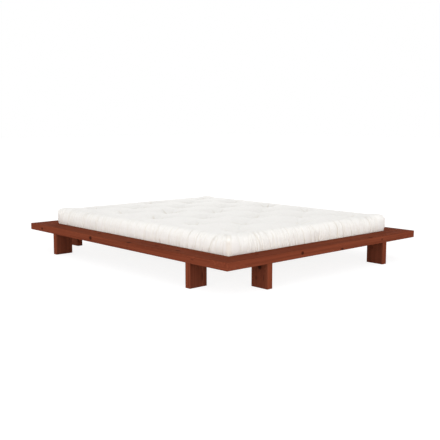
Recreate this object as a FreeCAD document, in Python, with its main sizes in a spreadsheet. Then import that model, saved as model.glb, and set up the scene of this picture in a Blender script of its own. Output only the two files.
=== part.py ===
"""Low platform bed of stained pine with a loose tufted futon.

Millimetres. The origin is on the floor under the middle of the bed, +Y points to the head end,
+X to the right-hand side as seen from the foot end, and +Z is up.
"""

import FreeCAD, Part
import math
import os
import re

Vector = FreeCAD.Vector
Rotation = FreeCAD.Rotation

# Driving dimensions: name, value in millimetres (or a count), meaning
SIZES = [
    ("bed_length", 2300, "frame, head to foot, outside"),
    ("bed_width", 1900, "frame, side to side, outside"),
    ("rail_width", 150, "width of the flat rail boards"),
    ("rail_thick", 50, "thickness of the rail boards"),
    ("edge_round", 3, "rounding of the exposed edges of rails and legs"),
    ("leg_height", 158, "floor to the underside of the rails"),
    ("leg_thick", 45, "leg boards, thickness"),
    ("leg_width", 138, "leg boards, width across the rail"),
    ("leg_setback", 360, "middle of a leg to the frame's corner, along its rail"),
    ("right_leg_setback", 280, "the same for the right rail's legs, which stand nearer its ends"),
    ("leg_bolt_spacing", 70, "between the two bolts of a leg"),
    ("leg_bolt_dia", 8, "leg bolts"),
    ("leg_bolt_reach", 15, "how far a leg bolt goes into its rail"),
    ("leg_head_dia", 13, "leg bolt heads"),
    ("leg_head_height", 8, "leg bolt heads"),
    ("leg_drive", 6, "hexagon recesses of the leg bolts, across the flats"),
    ("leg_drive_depth", 4, "hexagon recesses of the leg bolts"),
    ("leg_sink_dia", 18, "counterbores in the feet of the legs"),
    ("leg_sink_depth", 40, "counterbores in the feet of the legs"),
    ("washer_dia", 16, "washers under the leg bolt heads"),
    ("washer_thick", 1.6, "washers under the leg bolt heads"),
    ("leg_insert_dia", 12, "threaded inserts for the leg bolts"),
    ("leg_insert_length", 20, "threaded inserts for the leg bolts"),
    ("corner_bolt_inset", 45, "corner bolts from the lap's two outer edges"),
    ("corner_bolt_dia", 6, "corner bolts"),
    ("corner_bolt_reach", 12, "how far a corner bolt goes into the upper lap"),
    ("corner_head_dia", 12, "corner bolt heads"),
    ("corner_head_height", 4, "corner bolt heads"),
    ("corner_drive", 4, "hexagon recesses of the corner bolts, across the flats"),
    ("corner_drive_depth", 2, "hexagon recesses of the corner bolts"),
    ("corner_sink_dia", 14, "counterbores under the corners"),
    ("corner_sink_depth", 6, "counterbores under the corners"),
    ("corner_insert_dia", 9, "threaded inserts for the corner bolts"),
    ("corner_insert_length", 13, "threaded inserts for the corner bolts"),
    ("bolt_clearance", 1, "a bolt's bore over its diameter"),
    ("fit_gap", 0.1, "a thread's, insert's or pilot's hole over its diameter"),
    ("ledger_height", 25, "steel ledger angles, upright flange"),
    ("ledger_seat", 25, "steel ledger angles, level flange"),
    ("ledger_thick", 3, "steel ledger angles, sheet"),
    ("ledger_end_gap", 20, "ledger angle's end to the head or foot rail"),
    ("ledger_screw_count", 8, "screws along one ledger angle"),
    ("ledger_screw_reach", 18, "ledger screws into the side rails"),
    ("screw_dia", 4, "screws that hold the steel pieces"),
    ("screw_head_dia", 8, "their pan heads"),
    ("screw_head_height", 2.5, "their pan heads"),
    ("screw_drive", 3.5, "their six-point recesses, across the flats"),
    ("screw_drive_depth", 1.5, "their six-point recesses"),
    ("slat_count", 15, "slats"),
    ("slat_width", 70, "slats"),
    ("slat_thick", 18, "slats"),
    ("slat_round", 3, "rounding of the slats' long edges"),
    ("slat_end_gap", 4, "slat's end to the upright flange"),
    ("slat_screw_reach", 12, "end slats' screws into the wood"),
    ("beam_width", 95, "centre beam"),
    ("beam_thick", 20, "centre beam"),
    ("beam_end_gap", 0.5, "centre beam's end to its hanger"),
    ("hanger_height", 50, "steel hangers of the centre beam, upright flange"),
    ("hanger_seat", 50, "steel hangers, level flange"),
    ("hanger_width", 60, "steel hangers"),
    ("hanger_thick", 3, "steel hangers, sheet"),
    ("hanger_screw_spacing", 36, "between a hanger's screws"),
    ("hanger_screw_drop", 12, "rail screws below the upright flange's top"),
    ("hanger_screw_reach", 16, "hanger screws into the rail and the beam"),
    ("centre_leg_count", 3, "legs under the centre beam"),
    ("centre_leg_spacing", 520, "between the centre legs"),
    ("centre_leg_thick", 45, "centre legs"),
    ("centre_leg_width", 85, "centre legs"),
    ("centre_screw_spacing", 50, "between the two screws of a centre leg"),
    ("centre_screw_dia", 5, "centre leg screws"),
    ("centre_screw_head_dia", 10, "countersunk heads of the centre leg screws"),
    ("centre_screw_head_height", 3, "countersunk heads of the centre leg screws"),
    ("centre_screw_length", 60, "centre leg screws"),
    ("centre_drive", 4, "six-point recesses of the centre leg screws, across the flats"),
    ("centre_drive_depth", 2, "six-point recesses of the centre leg screws"),
    ("ribbon_width", 30, "ribbons that space the slats"),
    ("ribbon_thick", 1, "ribbons that space the slats"),
    ("ribbon_offset", 450, "ribbon's middle to the bed's middle"),
    ("staple_crown", 12, "staples of the ribbons"),
    ("staple_wire", 1, "staples of the ribbons"),
    ("staple_reach", 7, "staples into the slats"),
    ("futon_bulge", 3, "futon's fullest height, out over the opening's edge"),
    ("futon_edge_height", 138, "futon, underside to the top edge"),
    ("futon_crown", 14, "rise of the futon's middle over its edge"),
    ("futon_side_draw", 15, "how far the side draws in above and below"),
    ("futon_edge_round", 34, "rounding of the futon's top edge"),
    ("futon_base_round", 24, "rounding of the futon's lower edge"),
    ("futon_corner_round", 20, "rounding of the corners in plan"),
    ("futon_rest_gap", 0.3, "futon's underside over the slats"),
    ("cover_thick", 2, "futon cover"),
    ("wadding_thick", 40, "upper and lower cotton wadding"),
    ("tuft_rows", 5, "rows of tufts across the futon"),
    ("tuft_columns", 5, "tufts in the outer and middle rows; the rows between have one less"),
    ("tuft_side_margin", 233, "outer rows of tufts to the futon's side"),
    ("tuft_end_margin", 177, "last tufts of the longer rows to the futon's end"),
    ("tuft_depth", 24, "tufts below the crown"),
    ("tuft_round", 170, "radius of the dimples"),
    ("tie_dia", 3, "tuft ties"),
    ("tie_knot_dia", 12, "knots of the tuft ties"),
    ("tie_knot_thick", 3, "knots of the tuft ties"),
]
SIZE_NAMES = {name for name, _, _ in SIZES}

# Places worked out from the driving dimensions
FORMULAS = {
    "half_length": "bed_length / 2",
    "half_width": "bed_width / 2",
    "open_half_length": "bed_length / 2 - rail_width",
    "open_half_width": "bed_width / 2 - rail_width",
    "rail_top": "leg_height + rail_thick",
    "lap_thick": "rail_thick / 2",
    "lap_level": "leg_height + lap_thick",
    "slat_bottom": "leg_height + ledger_thick",
    "slat_top": "slat_bottom + slat_thick",
    "slat_half_length": "open_half_width - ledger_thick - slat_end_gap",
    "slat_pitch": "(2 * open_half_length + slat_width) / (slat_count + 1)",
    "beam_bottom": "slat_bottom - beam_thick",
    "beam_half_length": "open_half_length - hanger_thick - beam_end_gap",
    "ledger_half_length": "open_half_length - ledger_end_gap",
    "ledger_screw_pitch": "2 * ledger_half_length / ledger_screw_count",
    "ledger_screw_level": "leg_height + (ledger_thick + ledger_height) / 2",
    "ledger_seat_middle": "open_half_width - (ledger_thick + ledger_seat) / 2",
    "hanger_bottom": "beam_bottom - hanger_thick",
    "hanger_screw_level": "hanger_bottom + hanger_height - hanger_screw_drop",
    "hanger_seat_middle": "open_half_length - (hanger_thick + hanger_seat) / 2",
    "washer_bottom": "leg_sink_depth - washer_thick",
    "futon_half_width": "open_half_width + futon_bulge",
    "futon_half_length": "open_half_length + futon_bulge",
    "futon_bottom": "slat_top + futon_rest_gap",
    "futon_top": "futon_bottom + futon_edge_height + futon_crown",
    "tuft_row_pitch": "2 * (futon_half_width - tuft_side_margin) / (tuft_rows - 1)",
    "tuft_column_pitch": "2 * (futon_half_length - tuft_end_margin) / (tuft_columns - 1)",
    "tie_knot_seat": "fit_gap + tie_knot_dia * tie_knot_dia / (8 * tuft_round)",
}

document = FreeCAD.newDocument("Bed")
sheet = document.addObject("Spreadsheet::Sheet", "Sizes")
for row, (name, value, meaning) in enumerate(SIZES, 1):
    sheet.set(f"A{row}", name)
    sheet.set(f"B{row}", str(value))
    sheet.set(f"C{row}", meaning)
    sheet.setAlias(f"B{row}", name)
document.recompute()

nodes = []


def formula(text):
    """A formula with its named places written out and its sizes pointing at the sheet."""
    def expand(match):
        word = match.group(0)
        if word in FORMULAS:
            return f"({formula(FORMULAS[word])})"
        return f"Sizes.{word}" if word in SIZE_NAMES else word
    return re.sub(r"[a-z][a-z_]*", expand, str(text))


def size(name):
    """A driving dimension's number, as the sheet holds it."""
    return float(sheet.get(name))


def count(name):
    """A driving count, as the sheet holds it."""
    return int(round(size(name)))


def make(kind, label, **formulas):
    """An object of the document whose properties follow formulas."""
    thing = document.addObject(kind, label)
    thing.Label = label
    for prop, text in formulas.items():
        thing.setExpression(prop, formula(text))
    return thing


def place(thing, x, y, z, turn=None):
    """Turns a thing, then ties its position to three formulas."""
    if turn:
        thing.Placement = FreeCAD.Placement(Vector(), turn)
    for axis, text in zip("xyz", (x, y, z)):
        thing.setExpression(f"Placement.Base.{axis}", formula(text))
    return thing


def block(label, x, y, z):
    """A box between two formulas on each axis."""
    (x0, x1), (y0, y1), (z0, z1) = x, y, z
    box = make(
        "Part::Box", label,
        Length=f"({x1}) - ({x0})", Width=f"({y1}) - ({y0})", Height=f"({z1}) - ({z0})",
    )
    return place(box, x0, y0, z0)


UP = None
TO_RIGHT = Rotation(Vector(0, 1, 0), 90)
TO_LEFT = Rotation(Vector(0, 1, 0), -90)
TO_HEAD = Rotation(Vector(1, 0, 0), -90)
TO_FOOT = Rotation(Vector(1, 0, 0), 90)


def rod(label, dia, length, x, y, z, turn=UP):
    """A cylinder that starts at a point and runs the way it is turned."""
    cylinder = make("Part::Cylinder", label, Radius=f"({dia}) / 2", Height=length)
    return place(cylinder, x, y, z, turn)


def recess(label, flats, depth, x, y, z, turn=UP):
    """A six-sided prism that starts at a point and runs the way it is turned, for a key or a bit."""
    prism = make("Part::Prism", label, Circumradius=f"({flats}) / sqrt(3)", Height=depth)
    prism.Polygon = 6
    return place(prism, x, y, z, turn)


def fuse(label, things):
    joined = document.addObject("Part::MultiFuse", label)
    joined.Label = label
    joined.Shapes = things
    return joined


def group(label, things):
    """Separate solids kept together."""
    gathered = document.addObject("Part::Compound", label)
    gathered.Label = label
    gathered.Links = things
    return gathered


def cut(label, base, tools):
    """A base less a list of tools, none of which meet."""
    result = document.addObject("Part::Cut", label)
    result.Label = label
    result.Base = base
    result.Tool = tools[0] if len(tools) == 1 else group(f"{label}_tools", tools)
    return result


def round_edges(label, base, radius, wanted):
    """Rounds the straight edges of a base whose two end points both pass a test."""
    base.recompute(True)
    result = document.addObject("Part::Fillet", label)
    result.Label = label
    result.Base = base
    result.Edges = [
        (index, radius, radius)
        for index, edge in enumerate(base.Shape.Edges, 1)
        if wanted(*(vertex.Point for vertex in edge.Vertexes))
    ]
    return result


def near(a, b):
    return abs(a - b) < 0.01


def keep(thing, label):
    """Names a finished sub-part."""
    thing.Label = label
    nodes.append(thing)
    return thing


def spread(middle_count, pitch):
    """Formulas for evenly spaced places about zero."""
    return [f"({index - (middle_count - 1) / 2}) * ({pitch})" for index in range(middle_count)]


# The four sides: name, sign, and whether the rail runs along Y
SIDES = [("left", -1, True), ("right", 1, True), ("foot", -1, False), ("head", 1, False)]
ENDS = {True: [("foot", -1), ("head", 1)], False: [("left", -1), ("right", 1)]}


def across(sign, reach, inner, outer):
    """The span between two distances inward from a reach on one side of the middle, low end first."""
    low, high = f"{reach} - ({outer})", f"{reach} - ({inner})"
    return (low, high) if sign > 0 else (f"-({high})", f"-({low})")


def setback(sign, lengthwise):
    """The name of the setback that a side's legs stand at."""
    return "right_leg_setback" if lengthwise and sign > 0 else "leg_setback"


def leg_points(sign, lengthwise, end_sign):
    """The two bolt places of one leg, each an (x, y) pair of formulas."""
    reach, run = ("half_width", "half_length") if lengthwise else ("half_length", "half_width")
    along = f"{end_sign} * ({run} - {setback(sign, lengthwise)})"
    points = []
    for side in (-1, 1):
        over = f"{sign} * ({reach} - rail_width / 2 + ({side}) * leg_bolt_spacing / 2)"
        points.append((over, along) if lengthwise else (along, over))
    return points


def corner_points(sign_x, sign_y):
    """The two bolt places of one corner lap, on its diagonal."""
    insets = ("corner_bolt_inset", "rail_width - corner_bolt_inset")
    return [
        (f"{sign_x} * (half_width - ({a}))", f"{sign_y} * (half_length - ({b}))")
        for a, b in (insets, insets[::-1])
    ]


def ledger_screw_places():
    return spread(count("ledger_screw_count"), "ledger_screw_pitch")


def hanger_screw_places():
    return spread(2, "hanger_screw_spacing")


def make_rail(name, sign, lengthwise):
    """A flat board, halved at both ends: side rails below, head and foot rails above."""
    label = f"{name}_rail"
    reach, run = ("half_width", "half_length") if lengthwise else ("half_length", "half_width")
    over = across(sign, reach, "0", "rail_width")
    along = (f"-{run}", run)
    halved = ("lap_level", "rail_top") if lengthwise else ("leg_height", "lap_level")

    def board(text, over_span, along_span, z_span):
        spans = (over_span, along_span) if lengthwise else (along_span, over_span)
        return block(text, *spans, z_span)

    plank = board(f"{label}_board", over, along, ("leg_height", "rail_top"))
    notches = [
        board(f"{label}_halving_{end}", over, across(end_sign, run, "0", "rail_width"), halved)
        for end, end_sign in ENDS[lengthwise]
    ]
    halved_plank = cut(f"{label}_halved", plank, notches)

    half = size("bed_width" if lengthwise else "bed_length") / 2
    half_run = size("bed_length" if lengthwise else "bed_width") / 2
    bottom, top = size("leg_height"), size("leg_height") + size("rail_thick")

    def exposed(a, b):
        """Level edges along the outside and across the ends of the board, and its upright corners."""
        def over_of(p):
            return sign * (p.x if lengthwise else p.y)

        def along_of(p):
            return abs(p.y if lengthwise else p.x)

        outside = all(near(over_of(p), half) for p in (a, b))
        level = all(near(p.z, bottom) for p in (a, b)) or all(near(p.z, top) for p in (a, b))
        ended = all(near(along_of(p), half_run) for p in (a, b))
        return (outside and level) or (ended and level) or (outside and ended)

    eased = round_edges(f"{label}_eased", halved_plank, size("edge_round"), exposed)

    holes = []
    for end, end_sign in ENDS[lengthwise]:
        for index, (x, y) in enumerate(leg_points(sign, lengthwise, end_sign)):
            holes.append(rod(
                f"{label}_leg_hole_{end}_{index}", "leg_insert_dia + fit_gap",
                "leg_insert_length", x, y, "leg_height",
            ))
        signs = (sign, end_sign) if lengthwise else (end_sign, sign)
        for index, (x, y) in enumerate(corner_points(*signs)):
            tag = f"{label}_corner_hole_{end}_{index}"
            if lengthwise:
                bore = rod(
                    f"{tag}_bore", "corner_bolt_dia + bolt_clearance", "lap_thick",
                    x, y, "leg_height",
                )
                sink = rod(
                    f"{tag}_sink", "corner_sink_dia", "corner_sink_depth", x, y, "leg_height",
                )
                holes.append(fuse(tag, [bore, sink]))
            else:
                holes.append(rod(
                    tag, "corner_insert_dia + fit_gap", "corner_insert_length", x, y, "lap_level",
                ))
    if lengthwise:
        for index, y in enumerate(ledger_screw_places()):
            holes.append(rod(
                f"{label}_ledger_pilot_{index}", "screw_dia + fit_gap", "ledger_screw_reach",
                f"{sign} * open_half_width", y, "ledger_screw_level",
                TO_RIGHT if sign > 0 else TO_LEFT,
            ))
    else:
        for index, x in enumerate(hanger_screw_places()):
            holes.append(rod(
                f"{label}_hanger_pilot_{index}", "screw_dia + fit_gap", "hanger_screw_reach",
                x, f"{sign} * open_half_length", "hanger_screw_level",
                TO_HEAD if sign > 0 else TO_FOOT,
            ))
    keep(cut(label, eased, holes), label)


def make_leg(name, sign, lengthwise, end, end_sign):
    """An upright board under a rail, bored for two bolts from its foot."""
    label = f"{name}_leg_{end}"
    reach, run = ("half_width", "half_length") if lengthwise else ("half_length", "half_width")
    inset = "(rail_width - leg_width) / 2"
    over = across(sign, reach, inset, f"{inset} + leg_width")
    inward = setback(sign, lengthwise)
    along = across(end_sign, run, f"{inward} - leg_thick / 2", f"{inward} + leg_thick / 2")
    spans = (over, along) if lengthwise else (along, over)
    board = block(f"{label}_board", *spans, ("0", "leg_height"))

    def upright(a, b):
        return near(a.x, b.x) and near(a.y, b.y)

    eased = round_edges(f"{label}_eased", board, size("edge_round"), upright)
    holes = []
    for index, (x, y) in enumerate(leg_points(sign, lengthwise, end_sign)):
        bore = rod(
            f"{label}_bore_{index}", "leg_bolt_dia + bolt_clearance", "leg_height", x, y, "0",
        )
        sink = rod(f"{label}_sink_{index}", "leg_sink_dia", "leg_sink_depth", x, y, "0")
        holes.append(fuse(f"{label}_hole_{index}", [bore, sink]))
    keep(cut(label, eased, holes), label)


def make_leg_hardware():
    """Bolts, washers and threaded inserts of the eight legs."""
    bolts, washers, inserts = [], [], []
    for name, sign, lengthwise in SIDES:
        for end, end_sign in ENDS[lengthwise]:
            for index, (x, y) in enumerate(leg_points(sign, lengthwise, end_sign)):
                tag = f"{name}_{end}_{index}"
                head = rod(
                    f"leg_head_{tag}", "leg_head_dia", "leg_head_height",
                    x, y, "washer_bottom - leg_head_height",
                )
                shank = rod(
                    f"leg_shank_{tag}", "leg_bolt_dia",
                    "leg_height + leg_bolt_reach - washer_bottom", x, y, "washer_bottom",
                )
                drive = recess(
                    f"leg_drive_{tag}", "leg_drive", "leg_drive_depth",
                    x, y, "washer_bottom - leg_head_height",
                )
                blank = fuse(f"leg_bolt_blank_{tag}", [head, shank])
                bolts.append(cut(f"leg_bolt_{tag}", blank, [drive]))
                disc = rod(f"washer_disc_{tag}", "washer_dia", "washer_thick", x, y, "washer_bottom")
                eye = rod(
                    f"washer_eye_{tag}", "leg_bolt_dia + fit_gap", "washer_thick",
                    x, y, "washer_bottom",
                )
                washers.append(cut(f"washer_{tag}", disc, [eye]))
                body = rod(
                    f"leg_insert_body_{tag}", "leg_insert_dia", "leg_insert_length",
                    x, y, "leg_height",
                )
                thread = rod(
                    f"leg_insert_thread_{tag}", "leg_bolt_dia + fit_gap", "leg_insert_length",
                    x, y, "leg_height",
                )
                inserts.append(cut(f"leg_insert_{tag}", body, [thread]))
    keep(group("leg_bolts", bolts), "leg_bolts")
    keep(group("leg_washers", washers), "leg_washers")
    keep(group("leg_inserts", inserts), "leg_inserts")


def make_corner_hardware():
    """Bolts from below and threaded inserts in the upper laps, two to a corner."""
    bolts, inserts = [], []
    head_level = "leg_height + corner_sink_depth - corner_head_height"
    for sign_x in (-1, 1):
        for sign_y in (-1, 1):
            for index, (x, y) in enumerate(corner_points(sign_x, sign_y)):
                tag = f"{'left' if sign_x < 0 else 'right'}_{'foot' if sign_y < 0 else 'head'}_{index}"
                head = rod(
                    f"corner_head_{tag}", "corner_head_dia", "corner_head_height", x, y, head_level,
                )
                shank = rod(
                    f"corner_shank_{tag}", "corner_bolt_dia",
                    "lap_thick - corner_sink_depth + corner_bolt_reach",
                    x, y, "leg_height + corner_sink_depth",
                )
                drive = recess(
                    f"corner_drive_{tag}", "corner_drive", "corner_drive_depth", x, y, head_level,
                )
                blank = fuse(f"corner_bolt_blank_{tag}", [head, shank])
                bolts.append(cut(f"corner_bolt_{tag}", blank, [drive]))
                body = rod(
                    f"corner_insert_body_{tag}", "corner_insert_dia", "corner_insert_length",
                    x, y, "lap_level",
                )
                thread = rod(
                    f"corner_insert_thread_{tag}", "corner_bolt_dia + fit_gap",
                    "corner_insert_length", x, y, "lap_level",
                )
                inserts.append(cut(f"corner_insert_{tag}", body, [thread]))
    keep(group("corner_bolts", bolts), "corner_bolts")
    keep(group("corner_inserts", inserts), "corner_inserts")


def pan_screw(tag, reach, through, x, y, z, turn, back):
    """A pan-head screw: its head lies before the start point, its shank runs on through a sheet."""
    head_x, head_y, head_z = back
    head = rod(f"{tag}_head", "screw_head_dia", "screw_head_height", head_x, head_y, head_z, turn)
    shank = rod(f"{tag}_shank", "screw_dia", f"{through} + {reach}", x, y, z, turn)
    drive = recess(
        f"{tag}_drive", "screw_drive", "screw_drive_depth", head_x, head_y, head_z, turn,
    )
    return cut(tag, fuse(f"{tag}_blank", [head, shank]), [drive])


def make_ledger(name, sign):
    """A steel angle on a side rail's inner face, which carries the slats' ends."""
    label = f"{name}_ledger_angle"
    along = ("-(ledger_half_length)", "ledger_half_length")
    upright = block(
        f"{label}_upright",
        across(sign, "open_half_width", "0", "ledger_thick"), along,
        ("leg_height", "leg_height + ledger_height"),
    )
    seat = block(
        f"{label}_seat",
        across(sign, "open_half_width", "0", "ledger_seat"), along,
        ("leg_height", "leg_height + ledger_thick"),
    )
    holes = []
    for index, y in enumerate(ledger_screw_places()):
        holes.append(rod(
            f"{label}_hole_{index}", "screw_dia + fit_gap", "ledger_thick",
            f"{sign} * (open_half_width - ledger_thick)", y, "ledger_screw_level",
            TO_RIGHT if sign > 0 else TO_LEFT,
        ))
    for end, y in zip(("foot", "head"), end_slat_places()):
        holes.append(rod(
            f"{label}_slat_hole_{end}", "screw_dia + fit_gap", "ledger_thick",
            f"{sign} * ledger_seat_middle", y, "leg_height",
        ))
    keep(cut(label, fuse(f"{label}_blank", [upright, seat]), holes), label)


def make_ledger_screws():
    screws = []
    for name, sign in (("left", -1), ("right", 1)):
        for index, y in enumerate(ledger_screw_places()):
            face = f"{sign} * (open_half_width - ledger_thick)"
            head_start = f"{sign} * (open_half_width - ledger_thick - screw_head_height)"
            screws.append(pan_screw(
                f"ledger_screw_{name}_{index}", "ledger_screw_reach", "ledger_thick",
                face, y, "ledger_screw_level", TO_RIGHT if sign > 0 else TO_LEFT,
                (head_start, y, "ledger_screw_level"),
            ))
    keep(group("ledger_screws", screws), "ledger_screws")


def slat_places():
    return spread(count("slat_count"), "slat_pitch")


def end_slat_places():
    places = slat_places()
    return places[0], places[-1]


def staple_legs(tag, x, y):
    """The two legs of a staple, from the ribbon's underside up into a slat."""
    legs = []
    for side in (-1, 1):
        middle = f"{x} + ({side}) * (staple_crown - staple_wire) / 2"
        legs.append(block(
            f"{tag}_leg_{'a' if side < 0 else 'b'}",
            (f"{middle} - staple_wire / 2", f"{middle} + staple_wire / 2"),
            (f"{y} - staple_wire / 2", f"{y} + staple_wire / 2"),
            ("slat_bottom - ribbon_thick", "slat_bottom + staple_reach"),
        ))
    return legs


def ribbon_places():
    return [("left", "-ribbon_offset"), ("right", "ribbon_offset")]


def make_slats():
    """Pine slats across the bed; the end ones are screwed to the angles from below."""
    for index, y in enumerate(slat_places()):
        label = f"slat_{index + 1:02d}"
        board = block(
            f"{label}_board", ("-(slat_half_length)", "slat_half_length"),
            (f"{y} - slat_width / 2", f"{y} + slat_width / 2"), ("slat_bottom", "slat_top"),
        )

        def lengthwise(a, b):
            return near(a.y, b.y) and near(a.z, b.z)

        eased = round_edges(f"{label}_eased", board, size("slat_round"), lengthwise)
        holes = []
        for side, x in ribbon_places():
            holes += staple_legs(f"{label}_slot_{side}", x, y)
        if y in end_slat_places():
            for side, sign in (("left", -1), ("right", 1)):
                holes.append(rod(
                    f"{label}_pilot_{side}", "screw_dia + fit_gap", "slat_screw_reach",
                    f"{sign} * ledger_seat_middle", y, "slat_bottom",
                ))
        keep(cut(label, eased, holes), label)


def make_slat_screws():
    screws = []
    for end, y in zip(("foot", "head"), end_slat_places()):
        for side, sign in (("left", -1), ("right", 1)):
            x = f"{sign} * ledger_seat_middle"
            screws.append(pan_screw(
                f"slat_screw_{end}_{side}", "slat_screw_reach", "ledger_thick",
                x, y, "leg_height", UP, (x, y, "leg_height - screw_head_height"),
            ))
    keep(group("slat_screws", screws), "slat_screws")


def make_ribbons():
    """Two woven ribbons under the slats, stapled to each, which keep their spacing."""
    staples = []
    first, last = end_slat_places()
    for side, x in ribbon_places():
        label = f"slat_ribbon_{side}"
        strip = block(
            f"{label}_strip", (f"{x} - ribbon_width / 2", f"{x} + ribbon_width / 2"),
            (f"{first} - slat_width / 2", f"{last} + slat_width / 2"),
            ("slat_bottom - ribbon_thick", "slat_bottom"),
        )
        slots = []
        for index, y in enumerate(slat_places()):
            slots += staple_legs(f"{label}_slot_{index}", x, y)
            tag = f"staple_{side}_{index}"
            crown = block(
                f"{tag}_crown", (f"{x} - staple_crown / 2", f"{x} + staple_crown / 2"),
                (f"{y} - staple_wire / 2", f"{y} + staple_wire / 2"),
                ("slat_bottom - ribbon_thick - staple_wire", "slat_bottom - ribbon_thick"),
            )
            staples.append(fuse(tag, [crown] + staple_legs(tag, x, y)))
        keep(cut(label, strip, slots), label)
    keep(group("ribbon_staples", staples), "ribbon_staples")


def centre_leg_places():
    return spread(count("centre_leg_count"), "centre_leg_spacing")


def centre_screw_places():
    return [
        (x, y) for y in centre_leg_places() for x in spread(2, "centre_screw_spacing")
    ]


def sunk_screw(tag, x, y, extra):
    """A countersunk screw down from the beam's top; with extra diameter, the hole for it."""
    head = make(
        "Part::Cone", f"{tag}_head",
        Radius1=f"(centre_screw_dia + {extra}) / 2",
        Radius2=f"(centre_screw_head_dia + {extra}) / 2", Height="centre_screw_head_height",
    )
    place(head, x, y, "slat_bottom - centre_screw_head_height")
    shank = rod(
        f"{tag}_shank", f"centre_screw_dia + {extra}",
        "centre_screw_length - centre_screw_head_height", x, y, "slat_bottom - centre_screw_length",
    )
    return fuse(tag, [head, shank])


def make_centre_support():
    """A flat beam under the slats' middles on three legs, hung at both ends in steel angles."""
    board = block(
        "centre_beam_board", ("-beam_width / 2", "beam_width / 2"),
        ("-(beam_half_length)", "beam_half_length"), ("beam_bottom", "slat_bottom"),
    )
    holes = [
        sunk_screw(f"centre_beam_hole_{index}", x, y, "fit_gap")
        for index, (x, y) in enumerate(centre_screw_places())
    ]
    screws = []
    for end, sign in (("foot", -1), ("head", 1)):
        label = f"beam_hanger_{end}"
        width = ("-hanger_width / 2", "hanger_width / 2")
        upright = block(
            f"{label}_upright", width, across(sign, "open_half_length", "0", "hanger_thick"),
            ("hanger_bottom", "hanger_bottom + hanger_height"),
        )
        seat = block(
            f"{label}_seat", width, across(sign, "open_half_length", "0", "hanger_seat"),
            ("hanger_bottom", "beam_bottom"),
        )
        turn = TO_HEAD if sign > 0 else TO_FOOT
        hanger_holes = []
        for index, x in enumerate(hanger_screw_places()):
            face = f"{sign} * (open_half_length - hanger_thick)"
            head_start = f"{sign} * (open_half_length - hanger_thick - screw_head_height)"
            seat_middle = f"{sign} * hanger_seat_middle"
            hanger_holes.append(rod(
                f"{label}_rail_hole_{index}", "screw_dia + fit_gap", "hanger_thick",
                x, face, "hanger_screw_level", turn,
            ))
            hanger_holes.append(rod(
                f"{label}_beam_hole_{index}", "screw_dia + fit_gap", "hanger_thick",
                x, seat_middle, "hanger_bottom",
            ))
            holes.append(rod(
                f"centre_beam_pilot_{end}_{index}", "screw_dia + fit_gap", "hanger_screw_reach",
                x, seat_middle, "beam_bottom",
            ))
            screws.append(pan_screw(
                f"{label}_rail_screw_{index}", "hanger_screw_reach", "hanger_thick",
                x, face, "hanger_screw_level", turn, (x, head_start, "hanger_screw_level"),
            ))
            screws.append(pan_screw(
                f"{label}_beam_screw_{index}", "hanger_screw_reach", "hanger_thick",
                x, seat_middle, "hanger_bottom", UP,
                (x, seat_middle, "hanger_bottom - screw_head_height"),
            ))
        keep(cut(label, fuse(f"{label}_blank", [upright, seat]), hanger_holes), label)
    keep(cut("centre_beam", board, holes), "centre_beam")
    keep(group("hanger_screws", screws), "hanger_screws")

    for number, y in enumerate(centre_leg_places(), 1):
        label = f"centre_leg_{number}"
        post = block(
            f"{label}_board", ("-centre_leg_width / 2", "centre_leg_width / 2"),
            (f"{y} - centre_leg_thick / 2", f"{y} + centre_leg_thick / 2"), ("0", "beam_bottom"),
        )
        pilots = [
            rod(
                f"{label}_pilot_{index}", "centre_screw_dia + fit_gap",
                "centre_screw_length - beam_thick", x, y, "slat_bottom - centre_screw_length",
            )
            for index, x in enumerate(spread(2, "centre_screw_spacing"))
        ]
        keep(cut(label, post, pilots), label)
    sunk_screws = []
    for index, (x, y) in enumerate(centre_screw_places()):
        tag = f"centre_leg_screw_{index}"
        drive = recess(
            f"{tag}_drive", "centre_drive", "centre_drive_depth",
            x, y, "slat_bottom - centre_drive_depth",
        )
        sunk_screws.append(cut(tag, sunk_screw(f"{tag}_blank", x, y, "0"), [drive]))
    keep(group("centre_leg_screws", sunk_screws), "centre_leg_screws")


def futon_half(outside):
    """Half of the futon's fullest width or length, from the frame's outside size."""
    return size(outside) / 2 - size("rail_width") + size("futon_bulge")


def futon_outline(inset, level):
    """A level outline round the futon, drawn in by an inset: four straight sides, four round corners."""
    half_width = futon_half("bed_width") - inset
    half_length = futon_half("bed_length") - inset
    corner = size("futon_corner_round")
    slant = corner * (1 - math.sqrt(0.5))
    edges = []
    for sign_x, sign_y in ((1, -1), (1, 1), (-1, 1), (-1, -1)):
        on_side = Vector(sign_x * half_width, sign_y * (half_length - corner), level)
        on_end = Vector(sign_x * (half_width - corner), sign_y * half_length, level)
        bend = Vector(sign_x * (half_width - slant), sign_y * (half_length - slant), level)
        if sign_x * sign_y < 0:
            start, finish = on_end, on_side
            next_corner = Vector(on_side.x, -on_side.y, level)
        else:
            start, finish = on_side, on_end
            next_corner = Vector(-on_end.x, on_end.y, level)
        edges += [Part.Arc(start, bend, finish), Part.LineSegment(finish, next_corner)]
    return Part.Wire([edge.toShape() for edge in edges])


# Shares of a quarter turn, of half the side's height and of the way in to the middle
ROUND_STEPS = (0, 1 / 3, 2 / 3)
BULGE_STEPS = (-1, -0.5, 0, 0.5, 1)
CROWN_STEPS = (0, 0.3, 0.65, 1)


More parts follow.
